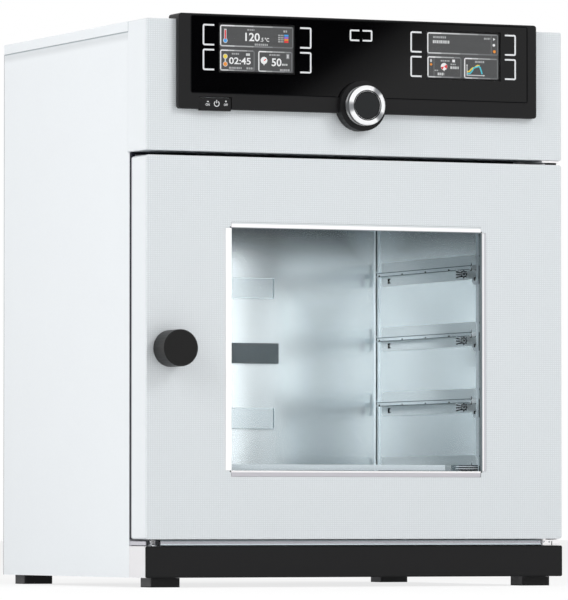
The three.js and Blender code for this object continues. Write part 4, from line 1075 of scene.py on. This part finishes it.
class OVEN_OT_control_panel(bpy.types.Operator):
    """Finish the bezel, the black glass, the ring and the keys"""
    bl_idname = "oven.control_panel"
    bl_label = "Control panel"

    def execute(self, context):
        finishes, marks, _ = props()
        dress(kept("black"), "cockpit_bezel", "main_switch")
        dress(self.panel_glass(finishes), "cockpit_glass")
        dress(surface_material("screen_ground", marks.screen_ground, 0.4, mottle=0.02, mottle_size=1.0,
                               grain=0.002), "display_left", "display_right")
        dress(surface_material("board_green", finishes.board_green, 0.5, mottle=0.1, mottle_size=2.0),
              "control_board")
        (x0, front, z0), (x1, _, z1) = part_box("control_ring")
        # Painted reflection: three darker arcs on the ring's face.
        arcs = (middle("control_ring"), (52, -38, 186), 0.06, finishes.ring_reflection_arc)
        rim = patch((x0 - MM, x1 + MM), (front + 2.0 * MM, front + 6.5 * MM), (z0 - MM, z1 + MM), 1.2,
                    finishes.chrome_rim)
        dress(surface_material("ring_chrome", finishes.chrome, 0.3, 0.5, mottle=0.004, grain=0.0008,
                               stretch=(1, 12, 1), smudge=0.06, patches=[rim], arcs=arcs), "control_ring")
        dress(surface_material("key_black", finishes.key_black, 0.34, mottle=0.02, grain=0.006,
                               grain_size=0.4, specular=0.3), "confirm_key")
        self.grooves(front, middle("control_ring"), high("confirm_key").x - middle("confirm_key").x)
        return {"FINISHED"}

    @staticmethod
    def grooves(front, centre, key_radius):
        """The ring's dark inner lip, and the dark line round the panel glass."""
        proud = 0.05 * MM
        lip = Shape()
        outer, inner = (disc(centre.x, centre.z, front, key_radius + wide * MM, 40) for wide in (1.7, 0.5))
        lip.band(outer, inner, (0, -proud, 0))
        lip.piece("ring_lip", "ring", "black_plastic", "groove")
        (left, front, foot), (right, _, top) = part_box("cockpit_glass")
        line, boss, face = 1.0 * MM, 33 * MM, front - 0.1 * MM
        edge = Shape()
        for x0, x1, z0, z1 in ((left, left + line, foot, top), (right - line, right, foot, top),
                               (left + line, right - line, top - line, top),
                               (left + line, centre.x - boss, foot, foot + line),
                               (centre.x + boss, right - line, foot, foot + line)):
            edge.box((x0, face, z0), (x1, face + proud, z1))
        edge.piece("glass_groove", "oven", "black_plastic", "groove")

    @staticmethod
    def panel_glass(finishes):
        """Black glass that is clear over the two displays."""
        material = surface_material("panel_glass", finishes.glass_black, 0.03, mottle=0.1, mottle_size=40,
                                    grain=0.0, smudge=0.02)
        tree = material.node_tree
        x, _, z = parts(tree, place_on(tree))
        display_low, display_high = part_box("display_right")
        centre = (low("display_left").x + display_high.x) / 2
        rim, soft = 2.2 * MM, 0.3 * MM
        aside = calc(tree, "ABSOLUTE", calc(tree, "SUBTRACT", x, centre))
        window = []
        for along, near, far in ((aside, display_low.x - centre, display_high.x - centre),
                                 (z, display_low.z, display_high.z)):
            window += [ramp(tree, along, near - rim - soft, near - rim),
                       ramp(tree, along, far + rim + soft, far + rim)]
        cover = calc(tree, "MULTIPLY_ADD", product(tree, *window), -0.97, 1.0)
        feed(tree, tree.nodes["Principled BSDF"].inputs["Alpha"], cover)
        return material


class OVEN_OT_key_brackets(bpy.types.Operator):
    """Build the printed brackets of the touch keys on the panel glass"""
    bl_idname = "oven.key_brackets"
    bl_label = "Key brackets"

    def execute(self, context):
        _, marks, _ = props()
        front, line = low("cockpit_glass").y, marks.bracket_line
        shape = Shape()
        gap, wide, tall, between = 8.3 * MM, 14.9 * MM, 25.6 * MM, 4.0 * MM
        brackets = []
        for name in ("display_left", "display_right"):
            screen_low, screen_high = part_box(name)
            for drop in (0, tall + between):
                top = screen_high.z + 0.3 * MM - drop
                for tip, out in ((screen_low.x - gap, -wide), (screen_high.x + gap, wide)):
                    brackets.append((tip, tip + out, top - tall, top, 2.5 * MM))
        screen_top = high("display_left").z
        for tip, stem in ((-1.0, -13.7), (3.3, 16.3)):
            brackets.append((tip * MM, stem * MM, screen_top - 14.1 * MM, screen_top - 0.2 * MM, 2.0 * MM))
        for bracket in brackets:
            shape.prism(ribbon(self.path(line / 2, *bracket), line, front), (0, -marks.print_depth, 0))
        shape.piece("key_brackets", "oven", "screen", "print")
        return {"FINISHED"}

    @staticmethod
    def path(half, tip, stem, z0, z1, corner):
        """From a tip round two corners and back, where the stem is the side that is closed."""
        out = 1 if stem > tip else -1
        turn = corner - half
        centre = stem - out * corner
        bend = arc(0, 0, turn, 90, 0, 4)
        return [(tip, z1 - half), *((centre + out * x, z1 - corner + z) for x, z in bend),
                *((centre + out * x, z0 + corner - z) for x, z in reversed(bend)), (tip, z0 + half)]


class OVEN_OT_switch_marks(bpy.types.Operator):
    """Build the printed marks on the main switch"""
    bl_idname = "oven.switch_marks"
    bl_label = "Switch marks"

    def execute(self, context):
        _, marks, _ = props()
        x, front, z = low("main_switch")
        depth = marks.print_depth
        rise = (0, -depth, 0)
        shape = Shape()
        for text, across, up in (("ON", 10.0, 7.1), ("OFF", 33.6, 7.3)):
            shape.letters(text, x + (across - 2.6) * MM, x + (across + 2.6) * MM, z + (up - 1.45) * MM,
                          z + (up + 1.45) * MM, front, depth)
        dome = arc(x + 10.3 * MM, z + 10.0 * MM, 1.4 * MM, 0, 180, 8)
        shape.prism([(a, front, b) for a, b in dome], rise)
        shape.prism(disc(x + 33.6 * MM, z + 11.4 * MM, front, 1.0 * MM, 12), rise)
        x, z = x + 21.7 * MM, z + 8.4 * MM
        shape.prism(ribbon(arc(x, z, 3.2 * MM, 125, 415, 16), 1.0 * MM, front), rise)
        shape.box((x - 0.5 * MM, front - depth, z + 0.6 * MM), (x + 0.5 * MM, front, z + 4.4 * MM))
        shape.piece("switch_marks", "switch", "screen", "white_print")
        return {"FINISHED"}


# Display pictures: places are shares of a display's width and height, from its top left corner
class Picture:
    """Draws flat lit shapes on one display."""

    def __init__(self, name):
        self.low, self.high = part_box(name)
        self.shape = Shape()
        self.front = self.low.y
        self.depth = 0.02 * MM

    def at(self, u, v):
        return (self.low.x + u * (self.high.x - self.low.x), self.high.z - v * (self.high.z - self.low.z))

    def flat(self, path, slot, layer=1):
        """A closed shape from its outline's (x, z) points."""
        self.shape.prism([(x, self.front, z) for x, z in path], (0, -self.depth * layer, 0), slot)

    def line(self, path, width, slot, layer=1):
        self.shape.prism(ribbon(path, width * MM, self.front), (0, -self.depth * layer, 0), slot)

    def outline(self, points, slot, layer=1):
        self.flat([self.at(u, v) for u, v in points], slot, layer)

    def bar(self, u0, u1, v0, v1, slot, layer=1):
        self.outline([(u0, v1), (u1, v1), (u1, v0), (u0, v0)], slot, layer)

    def words(self, slot, *lines):
        """Lines of small print, each as short dashes that fill a box."""
        lengths = (0.026, 0.016, 0.022, 0.013)
        for u, end, v0, v1 in lines:
            i = 0
            while u < end - 0.004:
                stop = min(u + lengths[i % len(lengths)], end)
                self.bar(u, stop, v0, v1, slot)
                u, i = stop + 0.007, i + 1

    def tile(self, u0, u1, v0, v1):
        """A framed tile. Its lines fade from the left to the right."""
        x0, z1 = self.at(u0, v0)
        x1, z0 = self.at(u1, v1)
        corner, line = 2.2 * MM, 1.5
        ring = []
        for x, z, start in ((x1 - corner, z1 - corner, 0), (x0 + corner, z1 - corner, 90),
                            (x0 + corner, z0 + corner, 180), (x1 - corner, z0 + corner, 270)):
            ring += arc(x, z, corner - line * MM / 2, start, start + 90, 4)
        ring.append(ring[0])
        shades = (WHITE, BRIGHT, MID, DIM, FAINT)
        pieces = []
        for (ax, az), (bx, bz) in zip(ring, ring[1:]):
            steps = max(1, round(abs(bx - ax) / (8 * MM)))
            stops = [(ax + (bx - ax) * k / steps, az + (bz - az) * k / steps) for k in range(steps + 1)]
            pieces += zip(stops, stops[1:])
        for start, end in pieces:
            share = ((start[0] + end[0]) / 2 - x0) / (x1 - x0)
            drop = 0 if max(start[1], end[1]) > z0 + corner else 1
            self.line([start, end], line, shades[min(int(share * 4.2) + drop, 4)])

    def number(self, text, u0, u1, v0, v1):
        x0, z1 = self.at(u0, v0)
        x1, z0 = self.at(u1, v1)
        self.shape.letters(text, x0, x1, z0, z1, self.front, self.depth, WHITE)

    def spot(self, u, v, radius, slot, layer=1):
        x, z = self.at(u, v)
        self.shape.prism(disc(x, z, self.front, radius * MM), (0, -self.depth * layer, 0), slot)

    def stroke(self, points, width, slot, layer=1):
        """A line of even width through the points."""
        self.line([self.at(u, v) for u, v in points], width, slot, layer)

    def gauge(self, u, v, point):
        """A round gauge that comes to a point below."""
        ring = arc(*self.at(u, v), 4.4 * MM, 0, 345, 23)
        ring[18] = self.at(u, point)
        self.flat(ring, WHITE)

    def sector(self, u, v, start, end):
        """A red slice of a gauge, between two angles in degrees from the right, turning up."""
        self.flat([self.at(u, v), *arc(*self.at(u, v), 4.2 * MM, start, end)], RED, 2)


class OVEN_OT_left_display(bpy.types.Operator):
    """Build the picture on the left display"""
    bl_idname = "oven.left_display"
    bl_label = "Left display"

    def execute(self, context):
        screen = Picture("display_left")
        screen.tile(0.0, 1.0, 0.0, 0.47)
        screen.tile(0.0, 0.472, 0.54, 1.0)
        screen.tile(0.52, 0.987, 0.544, 1.0)
        screen.words(MID, (0.37, 0.467, 0.075, 0.107), (0.472, 0.65, 0.386, 0.43),
                     (0.865, 0.919, 0.077, 0.121), (0.159, 0.267, 0.608, 0.643),
                     (0.122, 0.294, 0.913, 0.957), (0.359, 0.45, 0.913, 0.957),
                     (0.671, 0.817, 0.607, 0.642), (0.817, 0.957, 0.927, 0.971))
        screen.words(BRIGHT, (0.844, 0.919, 0.81, 0.85))
        screen.number("120", 0.343, 0.542, 0.154, 0.339)
        screen.number(".5 \N{DEGREE SIGN}C", 0.553, 0.668, 0.251, 0.34)
        screen.number("02:45", 0.122, 0.418, 0.703, 0.853)
        screen.number("50", 0.704, 0.838, 0.694, 0.871)

        screen.stroke([(0.071, 0.085), (0.071, 0.306)], 3.1, BRIGHT)
        screen.stroke([(0.071, 0.11), (0.071, 0.306)], 1.8, RED, 2)
        for v, tint, outer, inner in ((0.341, BLUE, 3.0, 2.2), (0.687, YELLOW, 3.1, 2.4),
                                      (0.855, ORANGE, 3.1, 2.4)):
            screen.spot(0.071, v, outer, BRIGHT)
            screen.spot(0.071, v, inner, tint, 2)
        for v, tint in ((0.170, BLUE), (0.219, PURPLE), (0.263, ORANGE), (0.308, RED)):
            screen.words(MID, (0.793, 0.865, v + 0.004, v + 0.034))
            screen.bar(0.876, 0.933, v, v + 0.038, tint)
        screen.bar(0.063, 0.079, 0.73, 0.812, BRIGHT)
        screen.bar(0.353, 0.407, 0.608, 0.661, BRIGHT)
        screen.gauge(0.599, 0.75, 0.862)
        screen.stroke([(0.599, 0.755), (0.627, 0.72)], 1.2, RED, 2)
        screen.bar(0.903, 0.946, 0.588, 0.703, DIM)
        screen.bar(0.914, 0.935, 0.608, 0.683, BRIGHT, 2)
        screen.shape.piece("left_display_picture", "oven", "screen", *GLOWS)
        return {"FINISHED"}


class OVEN_OT_right_display(bpy.types.Operator):
    """Build the picture on the right display"""
    bl_idname = "oven.right_display"
    bl_label = "Right display"

    def execute(self, context):
        screen = Picture("display_right")
        screen.tile(0.0, 1.0, 0.0, 0.47)
        screen.tile(0.002, 0.48, 0.533, 1.0)
        screen.tile(0.518, 0.998, 0.54, 1.0)
        screen.words(MID, (0.082, 0.263, 0.08, 0.125), (0.799, 0.889, 0.08, 0.12),
                     (0.189, 0.312, 0.606, 0.64), (0.327, 0.398, 0.682, 0.713),
                     (0.103, 0.16, 0.827, 0.855), (0.673, 0.801, 0.602, 0.645))
        screen.words(BRIGHT, (0.078, 0.31, 0.171, 0.238), (0.324, 0.441, 0.742, 0.798),
                     (0.146, 0.237, 0.89, 0.947))

        screen.bar(0.898, 0.903, 0.03, 0.44, DIM)
        screen.outline([(0.928, 0.075), (0.958, 0.108), (0.928, 0.141)], WHITE)
        screen.spot(0.938, 0.239, 1.7, WHITE)
        screen.spot(0.945, 0.382, 1.9, ORANGE)

        screen.bar(0.092, 0.097, 0.56, 0.97, DIM)
        screen.outline([(0.035, 0.624), (0.053, 0.585), (0.071, 0.624), (0.064, 0.624), (0.064, 0.66),
                        (0.042, 0.66), (0.042, 0.624)], BRIGHT)
        screen.outline([(0.034, 0.711), (0.054, 0.677), (0.074, 0.711), (0.054, 0.745)], ORANGE)
        screen.bar(0.351, 0.389, 0.59, 0.65, WHITE)
        screen.gauge(0.236, 0.751, 0.853)
        screen.sector(0.236, 0.751, -40, 40)
        screen.sector(0.236, 0.751, 190, 240)

        screen.stroke([(0.559, 0.925), (0.559, 0.7)], 1.1, BRIGHT)
        screen.stroke([(0.552, 0.925), (0.795, 0.925)], 1.1, BRIGHT)
        screen.outline([(0.546, 0.712), (0.572, 0.712), (0.559, 0.678)], BRIGHT)
        screen.outline([(0.79, 0.903), (0.79, 0.947), (0.812, 0.925)], BRIGHT)
        warm = [(0.563, 0.847), (0.591, 0.843), (0.614, 0.8), (0.637, 0.762), (0.667, 0.757), (0.69, 0.717),
                (0.708, 0.703), (0.737, 0.71)]
        cool = [(0.563, 0.888), (0.602, 0.885), (0.632, 0.828), (0.655, 0.762), (0.69, 0.741),
                (0.725, 0.72), (0.743, 0.747), (0.757, 0.811), (0.772, 0.894)]
        screen.stroke(warm, 1.7, YELLOW, 2)
        screen.stroke(cool, 1.7, CYAN, 3)
        screen.shape.piece("right_display_picture", "oven", "screen", *GLOWS)
        return {"FINISHED"}


class OVEN_OT_services(bpy.types.Operator):
    """Finish the valves, ports, sensor and inlet"""
    bl_idname = "oven.services"
    bl_label = "Services"

    def execute(self, context):
        finishes, _, _ = props()
        dress(surface_material("valve_brass", finishes.brass, 0.34, 0.9, mottle=0.04), "vacuum_valve",
              "vent_valve")
        dress(kept("bright"), "vacuum_port", "vent_port", "pressure_sensor")
        dress(kept("black"), "mains_inlet")
        return {"FINISHED"}


class OVEN_OT_stage(bpy.types.Operator):
    """Build the floor, the lights, the world and the camera"""
    bl_idname = "oven.stage"
    bl_label = "Stage"

    def execute(self, context):
        _, _, stage = props()
        self.floor(stage)
        self.world(stage)
        centre = (Vector(CAD_BOX[0]) + Vector(CAD_BOX[1])) / 2
        self.lamp("key_lamp", Vector((1.9, -2.9, 2.6)), centre, 1.3, stage.key_power)
        self.lamp("side_lamp", Vector((-3.0, -1.4, 2.0)), centre, 2.4, stage.side_power)
        chamber_low, chamber_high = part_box("chamber")
        place = Vector((20 * MM, chamber_low.y + 30 * MM, chamber_low.z + 340 * MM))
        aim = Vector((40 * MM, chamber_high.y, chamber_low.z + 157 * MM))
        lamp = self.lamp("chamber_lamp", place, aim, 120 * MM, stage.chamber_power)
        lamp.visible_camera, lamp.data.spread = False, math.radians(97)
        self.door_glow(stage)
        self.camera(stage)
        bpy.context.scene.view_settings.view_transform = "Standard"
        return {"FINISHED"}

    @staticmethod
    def seen(tree, path):
        """One where the camera looks, directly or by way of glass or a polished piece."""
        through = calc(tree, "MAXIMUM", path["Is Glossy Ray"], path["Is Transmission Ray"])
        return calc(tree, "MAXIMUM", path["Is Camera Ray"], through)

    def floor(self, stage):
        half = 12.0
        base = CAD_BOX[0][2] - 0.2 * MM
        mesh = bpy.data.meshes.new("floor")
        corners = [(x, y, base) for x, y in ((-half, -half), (half, -half), (half, half), (-half, half))]
        mesh.from_pydata(corners, [], [(0, 1, 2, 3)])
        floor = bpy.data.objects.new("floor", mesh)
        bpy.context.scene.collection.objects.link(floor)
        material = surface_material("studio_floor", stage.floor_colour, 0.8, mottle=0.002, grain=0.0,
                                    specular=0.0)
        tree = material.node_tree
        glow = node(tree, "ShaderNodeEmission", {"Color": (1, 1, 1, 1), "Strength": 1.0})
        seen = self.seen(tree, tree.nodes.new("ShaderNodeLightPath").outputs)
        mix = node(tree, "ShaderNodeMixShader", {
            0: product(tree, seen, 1.0 - stage.floor_shadow), 1: tree.nodes["Principled BSDF"].outputs[0],
            2: glow.outputs[0]})
        feed(tree, tree.nodes["Material Output"].inputs["Surface"], mix.outputs[0])
        mesh.materials.append(material)

    def world(self, stage):
        world = bpy.data.worlds.new("studio")
        bpy.context.scene.world = world
        world.use_nodes = True
        tree = world.node_tree
        path = tree.nodes.new("ShaderNodeLightPath").outputs
        light = calc(tree, "MULTIPLY_ADD", self.seen(tree, path), 1.0 - stage.fill_light, stage.fill_light)
        card = product(tree, self.dark_card(tree), path["Is Glossy Ray"])
        fill(tree, tree.nodes["Background"], {
            "Color": (1, 1, 1, 1), "Strength": product(tree, light, calc(tree, "SUBTRACT", 1.0, card))})

    @staticmethod
    def dark_card(tree):
        """A card far in front of the oven: black up to a slanted line, grey beyond it, bright at its foot.

        The panel glass mirrors its upper part and the chamber's back wall its foot.
        """
        card_way, slant_way, line, foot = (0.41, -0.91, 0.06), (0.605, 0.0, -0.796), 0.1918, 0.05
        way = tree.nodes.new("ShaderNodeTexCoord").outputs["Generated"]
        off_centre = vector_calc(tree, "SUBTRACT", way, card_way)
        around = ramp(tree, vector_calc(tree, "LENGTH", off_centre, output="Value"), 0.16, 0.1)
        slant = vector_calc(tree, "DOT_PRODUCT", way, slant_way, output="Value")
        edge = ramp(tree, slant, line - 0.001, line, 0.99, 0.76)
        depth = calc(tree, "SUBTRACT", edge, ramp(tree, slant, line, line + 0.0072, 0.0, 0.36))
        rise = parts(tree, way)[2]
        above = product(tree, around, ramp(tree, rise, foot + 0.004, foot + 0.014), depth)
        below = product(tree, around, ramp(tree, rise, foot - 0.004, foot - 0.014), 1.8)
        return calc(tree, "SUBTRACT", above, below)

    def door_glow(self, stage):
        """A faint upright panel behind the door's right stile, which the chamber's back wall mirrors."""
        opening = high("window_trim").x - TRIM_BORDER
        wall = high("shelf_rail_right_1").x
        place = Vector(((opening + wall) / 2, low("chamber").y + 3 * MM, middle("window_trim").z - 40 * MM))
        lamp = self.lamp("door_glow", place, place + Vector((0, 1, 0)), wall - opening, stage.glow_power)
        lamp.data.shape, lamp.data.size_y = "RECTANGLE", 270 * MM
        lamp.visible_camera, lamp.visible_glossy = False, True

    @staticmethod
    def lamp(name, place, aim, size, power):
        light = bpy.data.lights.new(name, "AREA")
        light.shape, light.size, light.energy = "DISK", size, power
        lamp = bpy.data.objects.new(name, light)
        lamp.location = place
        lamp.rotation_euler = (aim - place).to_track_quat("-Z", "Y").to_euler()
        lamp.visible_glossy = False
        bpy.context.scene.collection.objects.link(lamp)
        return lamp

    @staticmethod
    def camera(stage):
        """The camera stands where it was fitted to the photograph, in metres from the door's face."""
        aside, before, up = 3.02196, 6.56997, 0.08496
        lens = bpy.data.cameras.new("camera")
        lens.lens, lens.sensor_width, lens.sensor_fit = stage.focal_length, 36.0, "AUTO"
        lens.clip_end = 60.0
        camera = bpy.data.objects.new("camera", lens)
        camera.location = (-aside, low("door_shell").y - before, up)
        camera.rotation_euler = Euler((math.pi / 2 + stage.camera_pitch, 0.0, -stage.camera_yaw))
        bpy.context.scene.collection.objects.link(camera)
        bpy.context.scene.camera = camera


OPERATORS = (
    OVEN_OT_casing, OVEN_OT_chamber, OVEN_OT_chamber_seams, OVEN_OT_rail_clips, OVEN_OT_door,
    OVEN_OT_door_gaps, OVEN_OT_window_corners, OVEN_OT_screws, OVEN_OT_control_panel,
    OVEN_OT_key_brackets, OVEN_OT_switch_marks, OVEN_OT_left_display, OVEN_OT_right_display,
    OVEN_OT_services, OVEN_OT_stage,
)


class OVEN_PT_panel(bpy.types.Panel):
    """Lists the oven's operators and values in the sidebar"""
    bl_idname = "OVEN_PT_panel"
    bl_label = "Vacuum drying oven"
    bl_space_type = "VIEW_3D"
    bl_region_type = "UI"
    bl_category = "Oven"

    def draw(self, context):
        for operator in OPERATORS:
            self.layout.operator(operator.bl_idname)
        for group in props():
            for name in group.__annotations__:
                self.layout.prop(group, name)


PROPERTY_GROUPS = {"oven_finishes": OvenFinishes, "oven_marks": OvenMarks, "oven_stage": OvenStage}
CLASSES = (*PROPERTY_GROUPS.values(), *OPERATORS, OVEN_PT_panel)


def register():
    for entry in CLASSES:
        bpy.utils.register_class(entry)
    for name, group in PROPERTY_GROUPS.items():
        setattr(bpy.types.Scene, name, PointerProperty(type=group))


def unregister():
    for name in PROPERTY_GROUPS:
        delattr(bpy.types.Scene, name)
    for entry in reversed(CLASSES):
        bpy.utils.unregister_class(entry)


def main():
    register()
    for operator in OPERATORS:
        group, name = operator.bl_idname.split(".")
        getattr(getattr(bpy.ops, group), name)()


if __name__ == "__main__":
    main()
